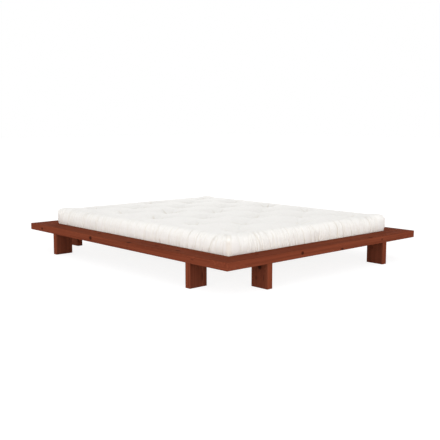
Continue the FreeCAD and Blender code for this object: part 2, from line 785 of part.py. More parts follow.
def futon_profile():
    """Inset and height of each outline, from the underside up over the bulging side to the crown."""
    draw, base, edge = size("futon_side_draw"), size("futon_base_round"), size("futon_edge_round")
    top = size("futon_edge_height")
    low, high = base, top - edge
    profile = []
    for step in ROUND_STEPS:
        turn = step * math.pi / 2
        profile.append((draw + base * (1 - math.sin(turn)), base * (1 - math.cos(turn))))
    for step in BULGE_STEPS:
        profile.append((draw * step ** 2, (low + high) / 2 + step * (high - low) / 2))
    for step in ROUND_STEPS[1:]:
        turn = step * math.pi / 2
        profile.append((draw + edge * (1 - math.cos(turn)), high + edge * math.sin(turn)))
    rim = draw + edge
    middle = futon_half("bed_width") - 2 * size("futon_corner_round")
    for step in CROWN_STEPS:
        profile.append((
            rim + (middle - rim) * step, top + size("futon_crown") * (1 - (1 - step) ** 2),
        ))
    return profile


def futon_loft(label, inset):
    """The futon's outer form, or the form of its filling, which is smaller by an inset all round."""
    height = size("futon_edge_height") + size("futon_crown")
    bottom = (
        size("leg_height") + size("ledger_thick") + size("slat_thick") + size("futon_rest_gap")
    )
    sections = []
    for index, (draw, rise) in enumerate(futon_profile()):
        section = document.addObject("Part::Feature", f"{label}_section_{index}")
        level = bottom + inset + rise * (height - 2 * inset) / height
        section.Shape = futon_outline(draw + inset, level)
        sections.append(section)
    loft = document.addObject("Part::Loft", label)
    loft.Label = label
    loft.Sections = sections
    loft.Solid = True
    loft.Ruled = True
    return loft


def tuft_points():
    """Staggered tufts: full rows and, between them, rows with one tuft less."""
    points = []
    for row, x in enumerate(spread(count("tuft_rows"), "tuft_row_pitch")):
        in_row = count("tuft_columns") - row % 2
        points += [(x, y) for y in spread(in_row, "tuft_column_pitch")]
    return points


def tuft_level(x):
    """The bottom of a tuft: its depth below the crown, which falls towards the sides."""
    return f"futon_top - futon_crown * (({x}) / (futon_half_width)) ^ 2 - tuft_depth"


def tuft_dishes(label, grow):
    """The balls that press the dimples, larger by grow for the filling under the cover."""
    dishes = []
    for index, (x, y) in enumerate(tuft_points()):
        ball = make("Part::Sphere", f"{label}_{index}", Radius=f"tuft_round + {grow}")
        dishes.append(place(ball, x, y, f"{tuft_level(x)} + tuft_round"))
    return dishes


def tie_rods(label, dia, bottom, top):
    """Upright rods at the tufts, between two levels, the upper one a formula or one of each tuft's x."""
    rods = []
    for index, (x, y) in enumerate(tuft_points()):
        end = top(x) if callable(top) else top
        rods.append(rod(f"{label}_{index}", dia, f"({end}) - ({bottom})", x, y, bottom))
    return rods


def tie_holes(label):
    """Stepped holes for the ties: their lower knots lie flush with the futon's underside."""
    cords = tie_rods(f"{label}_cord_hole", "tie_dia + fit_gap", "0", "bed_length")
    knots = tie_rods(
        f"{label}_knot_hole", "tie_knot_dia + fit_gap", "0", "futon_bottom + tie_knot_thick",
    )
    return [
        fuse(f"{label}_hole_{index}", list(pair)) for index, pair in enumerate(zip(cords, knots))
    ]


def make_futon():
    """A cover over three layers of filling, drawn together by ties at the tufts."""
    outer = cut("futon_form", futon_loft("futon_outer", 0), tuft_dishes("cover_dish", "0"))
    filling = cut(
        "filling_form", futon_loft("futon_inner", size("cover_thick")),
        tuft_dishes("filling_dish", "cover_thick"),
    )
    holes = tie_holes("tie")
    keep(cut("futon_cover", cut("cover_shell", outer, [filling]), holes), "futon_cover")

    far = "bed_length"
    everywhere = (f"-({far})", far)
    low = "futon_bottom + cover_thick + wadding_thick"
    high = "futon_top - futon_crown - cover_thick - wadding_thick"
    layers = [
        ("lower_wadding", "0", low),
        ("foam_core", low, high),
        ("upper_wadding", high, far),
    ]
    for label, bottom, top in layers:
        layer = document.addObject("Part::Common", f"{label}_layer")
        layer.Base = filling
        layer.Tool = block(f"{label}_slab", everywhere, everywhere, (bottom, top))
        keep(cut(label, layer, holes), label)

    def knot_top(x):
        return f"{tuft_level(x)} + tie_knot_thick"

    cords = tie_rods("tie_cord", "tie_dia", "futon_bottom", knot_top)
    lower = tie_rods("tie_lower_knot", "tie_knot_dia", "futon_bottom", "futon_bottom + tie_knot_thick")
    upper = []
    for index, (x, y) in enumerate(tuft_points()):
        seat = f"{tuft_level(x)} + tie_knot_seat"
        upper.append(rod(
            f"tie_upper_knot_{index}", "tie_knot_dia", "tie_knot_thick - tie_knot_seat", x, y, seat,
        ))
    keep(group("tuft_ties", [
        fuse(f"tuft_tie_{index}", list(pieces))
        for index, pieces in enumerate(zip(cords, lower, upper))
    ]), "tuft_ties")


for side_name, side_sign, runs_lengthwise in SIDES:
    make_rail(side_name, side_sign, runs_lengthwise)
    for end_name, end_sign in ENDS[runs_lengthwise]:
        make_leg(side_name, side_sign, runs_lengthwise, end_name, end_sign)
make_leg_hardware()
make_corner_hardware()
for side_name, side_sign in (("left", -1), ("right", 1)):
    make_ledger(side_name, side_sign)
make_ledger_screws()
make_slats()
make_slat_screws()
make_ribbons()
make_centre_support()
make_futon()

document.recompute()
for thing in document.Objects:
    if "Invalid" in thing.State or "Error" in thing.State:
        raise RuntimeError(f"{thing.Label} failed: {thing.State}")
for node in nodes:
    if node.Shape.isNull() or not node.Shape.isValid() or not node.Shape.Solids:
        raise RuntimeError(f"{node.Label} has no valid solid")

os.makedirs("parts", exist_ok=True)
for node in nodes:
    node.Shape.exportStep(f"parts/{node.Label}.step")
print(f"{len(nodes)} nodes")
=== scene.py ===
import math

import bpy
import numpy as np
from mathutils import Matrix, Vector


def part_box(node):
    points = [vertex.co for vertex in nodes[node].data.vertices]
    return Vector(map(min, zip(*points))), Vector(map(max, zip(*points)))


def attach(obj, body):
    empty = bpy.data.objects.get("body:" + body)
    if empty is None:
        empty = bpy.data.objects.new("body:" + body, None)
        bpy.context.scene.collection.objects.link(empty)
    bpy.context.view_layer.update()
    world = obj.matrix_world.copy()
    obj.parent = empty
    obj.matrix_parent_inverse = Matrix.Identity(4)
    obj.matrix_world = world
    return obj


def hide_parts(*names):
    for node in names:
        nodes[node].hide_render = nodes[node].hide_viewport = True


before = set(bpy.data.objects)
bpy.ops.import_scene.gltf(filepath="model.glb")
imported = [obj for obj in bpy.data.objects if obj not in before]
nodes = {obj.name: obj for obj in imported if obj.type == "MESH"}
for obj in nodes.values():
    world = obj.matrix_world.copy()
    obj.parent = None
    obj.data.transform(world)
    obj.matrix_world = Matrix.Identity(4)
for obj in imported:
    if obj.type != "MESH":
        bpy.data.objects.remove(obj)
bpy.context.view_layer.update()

# Low platform bed of stained pine boards with a tufted cotton futon.
# Metres, in the part's frame: +Y to the head end, +X right seen from the foot end, +Z up.
LEFT, RIGHT, FOOT, HEAD = "left", "right", "foot", "head"
X, Y, Z = 0, 1, 2


class Finish:
    """A material in the making. Its helpers add nodes, take numbers or sockets and mostly return a
    socket."""

    def __init__(self, name):
        self.material = bpy.data.materials.new(name)
        self.material.use_nodes = True
        self.tree = self.material.node_tree
        self.shader = self.tree.nodes["Principled BSDF"]

    def feed(self, socket, value):
        """Links a socket to another, or sets it to a number or a colour."""
        if isinstance(value, bpy.types.NodeSocket):
            self.tree.links.new(value, socket)
        else:
            socket.default_value = value

    def add(self, kind, *values, **settings):
        """A new node, with its settings and its first inputs."""
        node = self.tree.nodes.new("ShaderNode" + kind)
        for key, value in settings.items():
            setattr(node, key, value)
        for socket, value in zip(node.inputs, values):
            self.feed(socket, value)
        return node

    def math(self, operation, *values, clamp=False):
        return self.add("Math", *values, operation=operation, use_clamp=clamp).outputs[0]

    def total(self, *values):
        result = values[0]
        for value in values[1:]:
            result = self.math("ADD", result, value)
        return result

    def scaled(self, value, factor, offset=0.0):
        return self.math("MULTIPLY_ADD", value, factor, offset)

    def centred(self, value, span):
        """A noise value spread over a span about zero."""
        return self.scaled(value, span, -span / 2)

    def distance(self, first, second):
        """The length of a flat vector: the root of the sum of its squares."""
        squares = [self.math("MULTIPLY", value, value) for value in (first, second)]
        return self.math("SQRT", self.math("ADD", *squares))

    def split(self, vector):
        return self.add("SeparateXYZ", vector).outputs[:]

    def join(self, x, y, z):
        return self.add("CombineXYZ", x, y, z).outputs[0]

    def object_place(self):
        return self.add("TexCoord").outputs["Object"]

    def uv_place(self):
        return self.add("TexCoord").outputs["UV"]

    def attribute(self, name):
        return self.add("Attribute", attribute_name=name).outputs["Fac"]

    def noise(self, vector, scale=1.0, detail=2.0, roughness=0.5):
        node = self.add("TexNoise")
        inputs = {"Vector": vector, "Scale": scale, "Detail": detail, "Roughness": roughness}
        for key, value in inputs.items():
            self.feed(node.inputs[key], value)
        return node.outputs["Fac"]

    def ease(self, value, low, high, start=0.0, end=1.0):
        """A smooth step from start to end while the value goes from low to high."""
        node = self.add("MapRange", value, low, high, start, end, interpolation_type="SMOOTHSTEP")
        return node.outputs[0]

    def mix(self, share, first, second, blend="MIX"):
        node = self.add("Mix", data_type="RGBA", blend_type=blend)
        for index, value in ((0, share), (6, first), (7, second)):
            self.feed(node.inputs[index], value)
        return node.outputs[2]

    def bump(self, height, distance, strength):
        node = self.add("Bump")
        for key, value in (("Height", height), ("Distance", distance), ("Strength", strength)):
            self.feed(node.inputs[key], value)
        return node.outputs[0]

    def finish(self, **sockets):
        """Sets the shader's own sockets, named with underscores for spaces, and returns the material."""
        for key, value in sockets.items():
            self.feed(self.shader.inputs[key.replace("_", " ")], value)
        return self.material


def rgb(red, green, blue):
    """An opaque colour in linear light."""
    return (red, green, blue, 1.0)


def dress(node, material):
    """Gives a carried-over node its material."""
    slots = nodes[node].data.materials
    slots.clear()
    slots.append(material)


# Pine
STAIN = {
    "early": rgb(0.200, 0.0477, 0.0230),
    "late": rgb(0.106, 0.0234, 0.0113),
    "warm": rgb(0.2205, 0.0558, 0.0270),
    "knot": rgb(0.034, 0.0085, 0.0050),
    "worn": rgb(0.25, 0.076, 0.038),
    "ring_pitch": 0.0052,
    "ring_share": 0.34,
    "streak_share": 0.50,
    # The face colour is painted shade: it darkens a board's two wide faces against its edges
    "face": rgb(0.82, 0.90, 0.97),
    "gloss": 0.70,
    "shine": 0.003,
}
# The rails take a lighter painted shade on their wide faces, the ledge on top and the face below
RAIL_STAIN = {**STAIN, "face": rgb(0.93, 0.91, 0.88)}
RAW = {
    "early": rgb(0.66, 0.47, 0.27),
    "late": rgb(0.47, 0.27, 0.12),
    "warm": rgb(0.70, 0.50, 0.30),
    "knot": rgb(0.16, 0.07, 0.028),
    "worn": rgb(0.72, 0.56, 0.36),
    "ring_pitch": 0.0046,
    "ring_share": 0.62,
    "streak_share": 0.28,
    # The face colour is painted shade here too, on the wide faces
    "face": rgb(0.96, 0.95, 0.94),
    "gloss": 0.66,
    "shine": 0.20,
}

# Where the pith runs beside a board, how far it wanders, and how fast along the grain
PITH_ASIDE = 0.035
PITH_BELOW = 0.030
PITH_BELOW_SPREAD = 0.02
PITH_SWAY = 0.07
PITH_RISE = 0.05
SWAY_SCALE = 0.8
RISE_SCALE = 0.7
RISE_SPOT = (9.0, 4.0)
BOARD_SHIFT = 3.7

# Noise scales along the grain, across the width and through the thickness
WAVER = (3.0, 16.0, 16.0)
STREAK = (1.3, 75.0, 75.0)
BROAD = (0.8, 13.0, 13.0)
FIBRE = (16.0, 800.0, 800.0)

# Shares of a ring where the late wood comes in and ends, and spans that noise adds
LATE_START = (0.25, 0.88)
LATE_END = (0.92, 1.0)
RING_WAVER = 0.006
FIBRE_TINT = 0.24
FIBRE_GLOSS = 0.16
LATE_GLOSS = -0.07

# Knots, in their own radii: the dark core's edge and how far the rings are pushed aside
KNOT_CORE = (0.55, 1.35)
KNOT_REACH = (0.8, 4.5)
KNOT_PUSH = 1.6
KNOT_WAVER = 0.5

# Depths under a wide face where its painted shade starts and is full, and ways in from an edge where wear
# is full and ends
FACE_SHADE_BAND = (0.004, 0.001)
EDGE_BAND = (0.0005, 0.0045)
RUB_SCALE = 38.0
WORN_SHARE = 0.45
GRAIN_RELIEF = 0.0004


def pine(name, look, axes, middle, half, knots=(), seed=0.0, repeat=None):
    """Sawn pine as a solid: growth rings are circles round a pith line that wanders beside the board,
    rings = distance to the pith / ring pitch; streaks and fibres are noise drawn out along the grain;
    each knot is a dark core round an axis through the board, which pushes the rings aside;
    the board's two wide faces are tinted a little darker than its edges, as painted shade.

    axes are the board's length, width and thickness axes; middle and half its box on X, Y and Z.
    repeat gives the pitch of boards laid side by side along the width that share the finish."""
    paint = Finish(name)
    place = paint.split(paint.object_place())
    along, wide, thin = (paint.math("SUBTRACT", place[axis], middle[axis]) for axis in axes)
    shift = seed
    if repeat:
        number = paint.math("FLOOR", paint.scaled(wide, 1 / repeat, 0.5))
        wide = paint.math("SUBTRACT", wide, paint.math("MULTIPLY", number, repeat))
        shift = paint.scaled(number, BOARD_SHIFT, seed)
    grain = paint.math("ADD", along, shift)

    def drawn_out(scales, detail=2.0, roughness=0.5):
        """Noise drawn out along the grain."""
        spot = [paint.scaled(value, scale) for value, scale in zip((grain, wide, thin), scales)]
        return paint.noise(paint.join(*spot), detail=detail, roughness=roughness)

    # The two sines only scatter the pith from board to board
    pith_wide = PITH_ASIDE * math.sin(5.1 * seed + 1.0)
    pith_thin = -half[axes[2]] - PITH_BELOW - PITH_BELOW_SPREAD * math.sin(3.3 * seed)
    sway = paint.noise(paint.join(paint.scaled(grain, SWAY_SCALE), seed, 0.0), detail=1.0)
    rise_spot = paint.join(paint.scaled(grain, RISE_SCALE), seed + RISE_SPOT[0], RISE_SPOT[1])
    rise = paint.noise(rise_spot, detail=1.0)
    from_wide = paint.total(wide, -pith_wide, paint.centred(sway, PITH_SWAY))
    from_thin = paint.total(thin, -pith_thin, paint.centred(rise, PITH_RISE))
    waver = drawn_out(WAVER)
    reach = paint.total(paint.distance(from_wide, from_thin), paint.centred(waver, RING_WAVER))

    core = 0.0
    for at_along, at_other, radius, through, drawn, dark_share in knots:
        other, other_axis = (wide, axes[1]) if through == axes[2] else (thin, axes[2])
        d_along = paint.scaled(along, 1 / radius, -(at_along - middle[axes[0]]) / radius)
        d_other = paint.scaled(other, 1 / radius, -(at_other - middle[other_axis]) / radius)
        away = paint.distance(paint.scaled(d_along, 1 / drawn), d_other)
        away = paint.total(away, paint.centred(waver, KNOT_WAVER))
        reach = paint.math("ADD", reach, paint.ease(away, *KNOT_REACH, KNOT_PUSH * radius, 0.0))
        core = paint.math("MAXIMUM", core, paint.ease(away, *KNOT_CORE, dark_share, 0.0))

    ring = paint.math("FRACT", paint.scaled(reach, 1 / look["ring_pitch"]))
    late = paint.math("MULTIPLY", paint.ease(ring, *LATE_START), paint.ease(ring, *LATE_END, 1.0, 0.0))
    streak = paint.ease(drawn_out(STREAK, detail=4.0, roughness=0.62), 0.38, 0.70)
    broad = drawn_out(BROAD)
    fibre = drawn_out(FIBRE)

    dark = paint.total(
        paint.math("MULTIPLY", late, look["ring_share"]),
        paint.math("MULTIPLY", streak, look["streak_share"]),
        paint.centred(fibre, FIBRE_TINT),
    )
    colour = paint.mix(paint.ease(broad, 0.35, 0.7), look["early"], look["warm"])
    colour = paint.mix(paint.math("ADD", dark, 0.0, clamp=True), colour, look["late"])
    colour = paint.mix(core, colour, look["knot"])

    # Painted shade: the wide faces take the face colour, darker than the edges
    face_shade_start, face_shade_full = (half[axes[2]] - depth for depth in FACE_SHADE_BAND)
    flat = paint.ease(paint.math("ABSOLUTE", thin), face_shade_start, face_shade_full)
    colour = paint.mix(flat, colour, look["face"], blend="MULTIPLY")

    # The middle one of the three distances to the board's faces is small only near an edge
    inside = [
        paint.math("SUBTRACT", half[axis], paint.math("ABSOLUTE", value))
        for axis, value in zip(axes, (along, wide, thin))
    ]
    low = paint.math("MINIMUM", inside[0], inside[1])
    high = paint.math("MAXIMUM", inside[0], inside[1])
    to_edge = paint.math("MAXIMUM", low, paint.math("MINIMUM", high, inside[2]))
    rub = paint.noise(paint.object_place(), scale=RUB_SCALE, detail=3.0, roughness=0.65)
    near_edge = paint.ease(to_edge, *EDGE_BAND, 1.0, 0.0)
    wear = paint.math("MULTIPLY", near_edge, paint.ease(rub, 0.42, 0.72))
    colour = paint.mix(paint.math("MULTIPLY", wear, WORN_SHARE), colour, look["worn"])

    relief = paint.total(paint.scaled(late, -0.5), paint.scaled(fibre, 0.5), paint.scaled(core, -0.6))
    gloss = paint.total(look["gloss"], paint.scaled(late, LATE_GLOSS), paint.centred(fibre, FIBRE_GLOSS))
    return paint.finish(
        Base_Color=colour,
        Roughness=gloss,
        Normal=paint.bump(relief, GRAIN_RELIEF, 0.5),
        Specular_IOR_Level=look["shine"],
    )


def box_middle_half(node):
    """A node's box as its middle and its half sizes."""
    low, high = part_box(node)
    return (low + high) / 2, (high - low) / 2


# Knots of the boards that show them: place along the board, place across, radius, axis they run along,
# how far they are drawn out along the grain, and how dark they are
RAIL_KNOTS = {
    "left_rail": (
        (0.972, 0.181, 0.010, X, 1.2, 0.86), (0.279, 0.187, 0.013, X, 1.2, 0.92),
        (0.295, -0.864, 0.010, Z, 2.4, 0.70), (-0.170, -0.937, 0.011, Z, 3.0, 0.92),
        (-0.402, -0.882, 0.008, Z, 2.4, 0.60), (-0.642, -0.898, 0.011, Z, 2.4, 0.86),
        (-0.841, 0.186, 0.006, X, 2.4, 0.45),
    ),
    "foot_rail": (
        (-0.301, 0.188, 0.011, Y, 1.2, 0.88), (0.099, 0.167, 0.009, Y, 1.6, 0.86),
        (0.547, 0.184, 0.009, Y, 1.0, 0.62), (0.424, -1.136, 0.010, Z, 2.4, 0.72),
        (-0.620, -1.060, 0.008, Z, 2.0, 0.70),
    ),
    "right_rail": (
        (0.520, 0.183, 0.009, X, 1.2, 0.86), (-0.410, 0.175, 0.010, X, 1.2, 0.86),
        (0.760, 0.872, 0.012, Z, 2.4, 0.86), (-0.105, 0.905, 0.010, Z, 2.4, 0.70),
    ),
    "head_rail": (
        (0.330, 0.187, 0.009, Y, 1.2, 0.86), (-0.510, 0.173, 0.010, Y, 1.2, 0.86),
        (0.150, 1.062, 0.011, Z, 2.4, 0.70), (-0.700, 1.110, 0.012, Z, 2.4, 0.86),
    ),
}
LEG_KNOTS = {
    "foot_leg_left": (
        (0.132, -1.078, 0.016, X, 1.1, 0.92), (0.059, -1.049, 0.011, X, 1.2, 0.40),
        (0.067, -1.113, 0.004, X, 5.0, 0.55),
    ),
    "left_leg_foot": ((0.064, -0.844, 0.0045, Y, 6.0, 0.60),),
    "right_leg_head": ((0.094, 0.892, 0.010, Y, 1.2, 0.86),),
    "head_leg_right": ((0.050, 1.090, 0.009, X, 1.2, 0.86),),
    "foot_leg_right": ((0.112, -1.052, 0.006, X, 2.0, 0.45),),
}

# Seeds, so that no two boards share their grain: the first one of a kind and the steps between them
RAIL_SEED, RAIL_SEED_STEP = 1.7, 4.3
LEG_SEED, LEG_SEED_STEP, SECOND_LEG_STEP = 21.0, 2.9, 1.3
SLAT_SEED = 31.0
BEAM_SEED = 37.0
POST_SEED, POST_SEED_STEP = 40.0, 1.9

# The four sides, and whether their rails run along Y
SIDES = ((LEFT, True), (RIGHT, True), (FOOT, False), (HEAD, False))
for number, (side, lengthwise) in enumerate(SIDES):
    rail = f"{side}_rail"
    rail_axes = (Y, X, Z) if lengthwise else (X, Y, Z)
    rail_seed = RAIL_SEED + RAIL_SEED_STEP * number
    dress(rail, pine(rail, RAIL_STAIN, rail_axes, *box_middle_half(rail), RAIL_KNOTS[rail], rail_seed))
    for end in ((FOOT, HEAD) if lengthwise else (LEFT, RIGHT)):
        leg = f"{side}_leg_{end}"
        leg_axes = (Z, X, Y) if lengthwise else (Z, Y, X)
        leg_seed = LEG_SEED + LEG_SEED_STEP * number + (SECOND_LEG_STEP if end in (HEAD, RIGHT) else 0.0)
        dress(leg, pine(leg, STAIN, leg_axes, *box_middle_half(leg), LEG_KNOTS.get(leg, ()), leg_seed))

SLATS = [f"slat_{index:02d}" for index in range(1, 16)]
slat_middle, slat_half = box_middle_half("slat_08")
slat_pitch = (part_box("slat_15")[0].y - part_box("slat_01")[0].y) / (len(SLATS) - 1)
slat_pine = pine("slat_pine", RAW, (X, Y, Z), slat_middle, slat_half, seed=SLAT_SEED, repeat=slat_pitch)
for slat in SLATS:
    dress(slat, slat_pine)
dress("centre_beam", pine("beam_pine", RAW, (Y, X, Z), *box_middle_half("centre_beam"), seed=BEAM_SEED))
for index in (1, 2, 3):
    post = f"centre_leg_{index}"
    post_seed = POST_SEED + POST_SEED_STEP * index
    dress(post, pine(f"post_pine_{index}", RAW, (Z, X, Y), *box_middle_half(post), seed=post_seed))


# Metals
def black_coat():
    """Powder coat: fine orange peel and a few rubbed spots."""
    paint = Finish("black_coat")
    place = paint.object_place()
    peel = paint.noise(place, scale=900.0, detail=2.0)
    cloud = paint.noise(place, scale=14.0, detail=3.0)
    rubbed = paint.ease(paint.noise(place, scale=60.0, detail=4.0), 0.66, 0.74)
    colour = paint.mix(cloud, rgb(0.018, 0.018, 0.019), rgb(0.030, 0.029, 0.028))
    return paint.finish(
        Base_Color=paint.mix(paint.math("MULTIPLY", rubbed, 0.4), colour, rgb(0.10, 0.10, 0.10)),
        Roughness=paint.scaled(cloud, 0.2, 0.34),
        Normal=paint.bump(peel, 0.0002, 0.35),
    )


def plated(name, clean, tinted, gloss):
    """Plated metal: a cloudy tint over fine turning marks."""
    paint = Finish(name)
    place = paint.object_place()
    cloud = paint.noise(place, scale=120.0, detail=3.0)
    marks = paint.noise(place, scale=2600.0, detail=1.0)
    return paint.finish(
        Base_Color=paint.mix(paint.ease(cloud, 0.35, 0.7), clean, tinted),
        Metallic=1.0,
        Roughness=paint.scaled(marks, 0.18, gloss),
        Normal=paint.bump(marks, 0.00008, 0.4),
    )


black_steel = black_coat()
zinc = plated("zinc_plate", rgb(0.58, 0.60, 0.62), rgb(0.62, 0.58, 0.46), gloss=0.26)
brass = plated("brass", rgb(0.66, 0.48, 0.20), rgb(0.52, 0.36, 0.15), gloss=0.28)
for node in ("left_ledger_angle", "right_ledger_angle", "beam_hanger_foot", "beam_hanger_head"):
    dress(node, black_steel)
for node in (
    "leg_bolts", "leg_washers", "corner_bolts", "ledger_screws", "slat_screws", "hanger_screws",
    "centre_leg_screws", "ribbon_staples",
):
    dress(node, zinc)
for node in ("leg_inserts", "corner_inserts"):
    dress(node, brass)


# Cloth
def weave_height(paint, place, pitch):
    """Plain weave: warp and weft threads are waves that swap which is on top from thread to thread."""
    u, v, _ = paint.split(place)
    u_turn, v_turn = (paint.scaled(value, math.pi / pitch) for value in (u, v))
    warp = paint.math("ABSOLUTE", paint.math("SINE", u_turn))
    weft = paint.math("ABSOLUTE", paint.math("SINE", v_turn))
    over = paint.math("MULTIPLY", paint.math("COSINE", u_turn), paint.math("COSINE", v_turn))
    return paint.total(paint.scaled(warp, 0.5), paint.scaled(weft, 0.5), paint.scaled(over, 0.35))


# Noise scales of the slubs along their own thread and across it, and the share and warm colour of full
# painted shade in folds, the tuck and the low sides
SLUB_ALONG, SLUB_ACROSS = 18.0, 700.0
PAINTED_SHADE_SHARE = 0.42
PAINTED_SHADE_COLOUR = rgb(0.74, 0.67, 0.55)
FLECK_COLOUR = rgb(0.48, 0.38, 0.25)


def cotton(name, clean, shade, pitch, relief):
    """Unbleached cotton: plain weave, slubs drawn out along both threads, seed flecks, and painted shade,
    warmer and darker, in its folds, the tuck and low on the sides, which a point attribute gives."""
    paint = Finish(name)
    place = paint.uv_place()
    u, v, _ = paint.split(place)
    slub_u = paint.noise(paint.join(paint.scaled(u, SLUB_ALONG), paint.scaled(v, SLUB_ACROSS), 0.0))
    slub_v = paint.noise(paint.join(paint.scaled(u, SLUB_ACROSS), paint.scaled(v, SLUB_ALONG), 5.0))
    cloud = paint.noise(place, scale=7.0, detail=3.0)
    fleck = paint.ease(paint.noise(place, scale=260.0, detail=1.0), 0.78, 0.82)
    painted_shade = paint.attribute("painted_shade")
    colour = paint.mix(paint.scaled(cloud, 0.5), clean, shade)
    # Painted shade: warmer and darker where the point attribute marks creases, folds, the tuck and the low
    # sides
    colour = paint.mix(paint.math("MULTIPLY", painted_shade, PAINTED_SHADE_SHARE, clamp=True), colour, PAINTED_SHADE_COLOUR)
    colour = paint.mix(paint.math("MULTIPLY", fleck, 0.25), colour, FLECK_COLOUR)
    height = paint.total(
        weave_height(paint, place, pitch), paint.scaled(slub_u, 0.7), paint.scaled(slub_v, 0.7),
    )
    return paint.finish(
        Base_Color=colour,
        Roughness=0.92,
        Specular_IOR_Level=0.15,
        Normal=paint.bump(height, relief, 0.6),
        Sheen_Weight=0.12,
        Sheen_Roughness=0.5,
    )


def mesh_of(name, points, faces, uv=None):
    """A smooth-shaded mesh from arrays of points and faces, with one UV per face corner."""
    mesh = bpy.data.meshes.new(name)
    mesh.from_pydata(points.tolist(), [], faces)
    if uv is not None:
        mesh.uv_layers.new(name="thread").data.foreach_set("uv", np.asarray(uv, np.float32).ravel())
    mesh.polygons.foreach_set("use_smooth", np.ones(len(mesh.polygons), bool))
    mesh.update()
    return mesh


def piece(name, mesh, material, body):
    """A new piece of the object, which rides on a body and takes its finish from a slot."""
    made = bpy.data.objects.new(name, mesh)
    bpy.context.scene.collection.objects.link(made)
    mesh.materials.clear()
    mesh.materials.append(material)
    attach(made, body)
    return made


def plan_half(node):
    """Half a node's size on X and Y, to a tenth of a millimetre."""
    return np.round(np.array(box_middle_half(node)[1][:2], float), 4)


# Futon: half sizes at the fullest height, and levels
FUTON_HALF = plan_half("futon_cover")
LEDGE = round(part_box("left_rail")[1].z, 4)
FUTON_BOTTOM = 0.1795
FUTON_EDGE = 0.3165

# Tufts: five rows along Y, of which the second and fourth are staggered and one tuft short
TIE_KNOT_RADIUS = 0.006
TUFT_REACH = np.round(plan_half("tuft_ties") - TIE_KNOT_RADIUS, 4)
TUFT_X, TUFT_Y_LONG = TUFT_REACH[:, None] * np.linspace(-1, 1, 5)
TUFT_Y_SHORT = (TUFT_Y_LONG[1:] + TUFT_Y_LONG[:-1]) / 2
TUFTS = np.array([
    (x, y) for row, x in enumerate(TUFT_X) for y in (TUFT_Y_SHORT if row % 2 else TUFT_Y_LONG)
])
NEIGHBOUR = 0.37
TUFT_GAPS = np.linalg.norm(TUFTS[:, None] - TUFTS, axis=-1)
TUFT_PAIRS = np.argwhere(np.triu((TUFT_GAPS > 0) & (TUFT_GAPS < NEIGHBOUR)))

# The top's form: the crown and where it rises inwards, depth and reach of a tuft's dish and of its pit,
# and depth and reach of the valleys, with the share that is left half way
CROWN = 0.015
CROWN_BAND = (0.045, 0.17)
DISHES = ((0.016, 0.095), (0.012, 0.022))
VALLEY_DEPTH, VALLEY_REACH, VALLEY_LEAST = 0.0150, 0.038, 0.35

# The side's form: roundings, how they shrink as the outline draws in, insets, and what the corners do
CORNER_ROUND = 0.022
CORNER_SHRINK, CORNER_LEAST = 0.6, 0.012
EDGE_ROUND = 0.054
CORNER_EDGE_ROUND = 0.034
CORNER_BLEND = 0.11
SIDE_DRAW = 0.006
BASE_ROUND = 0.024
RIM_STEP, BASE_STEP = 0.008, 0.02
TOP_GAP, BASE_GAP = 0.010, 0.03
CORNER_LIFT, LIFT_REACH, LIFT_START, LIFT_STOP = 0.010, 0.13, 0.02, 0.01
CORNER_PUSH, PUSH_REACH, PUSH_RISE = 0.006, 0.07, 0.03

# The net's counts: cells of the top, points of the band to a cell, cells to a cell of the base, and rows
# of a round and of a side; and which of its groups of faces is the band
GRID = (160, 200)
FINE = 2
BASE_SHARE = 4
ROUND_ROWS = 6
SIDE_ROWS = 9
BAND_GROUP = 2

# The filling: first wobble, radius held at a tuft, how near to a level still counts as at it, steps, and
# the most that top and sides may swell
START_WOBBLE = 0.0006
HELD_RADIUS = 0.016
LEVEL_PLAY = 0.004
SIM_FRAMES = 22
TOP_SWELL = 0.004
SIDE_SWELL = 0.010


def bell(value):
    """One at zero, falling off smoothly both ways: e to the minus square."""
    return np.exp(-value ** 2)


def fade(value, low, high):
    """A smooth step from 0 to 1 while the value goes from low to high."""
    t = np.clip((value - low) / (high - low), 0, 1)
    return t * t * (3 - 2 * t)


def tuft_distance(points):
    """Distance in plan from each point to its nearest tuft."""
    return np.sqrt(((points[:, None, :2] - TUFTS[None]) ** 2).sum(-1).min(1))


def pillow(points):
    """Height of the tufted top over its edge: a low crown, a dish with a pit at each tuft, and along each
    line between neighbouring tufts a soft valley, shallowest half way."""
    inward = (FUTON_HALF - np.abs(points[:, :2])).min(1)
    near = tuft_distance(points)
    dish = sum(depth * bell(near / reach) for depth, reach in DISHES)
    first, second = TUFTS[TUFT_PAIRS[:, 0]], TUFTS[TUFT_PAIRS[:, 1]]
    way = second - first
    off = points[:, None, :2] - first
    t = np.clip((off * way).sum(-1) / (way ** 2).sum(-1), 0, 1)
    apart = np.linalg.norm(off - t[..., None] * way, axis=-1)
    left = VALLEY_LEAST + (1 - VALLEY_LEAST) * (2 * t - 1) ** 2
    valley = (VALLEY_DEPTH * bell(apart / VALLEY_REACH) * left).max(1)
    return CROWN * fade(inward, *CROWN_BAND) - dish - valley


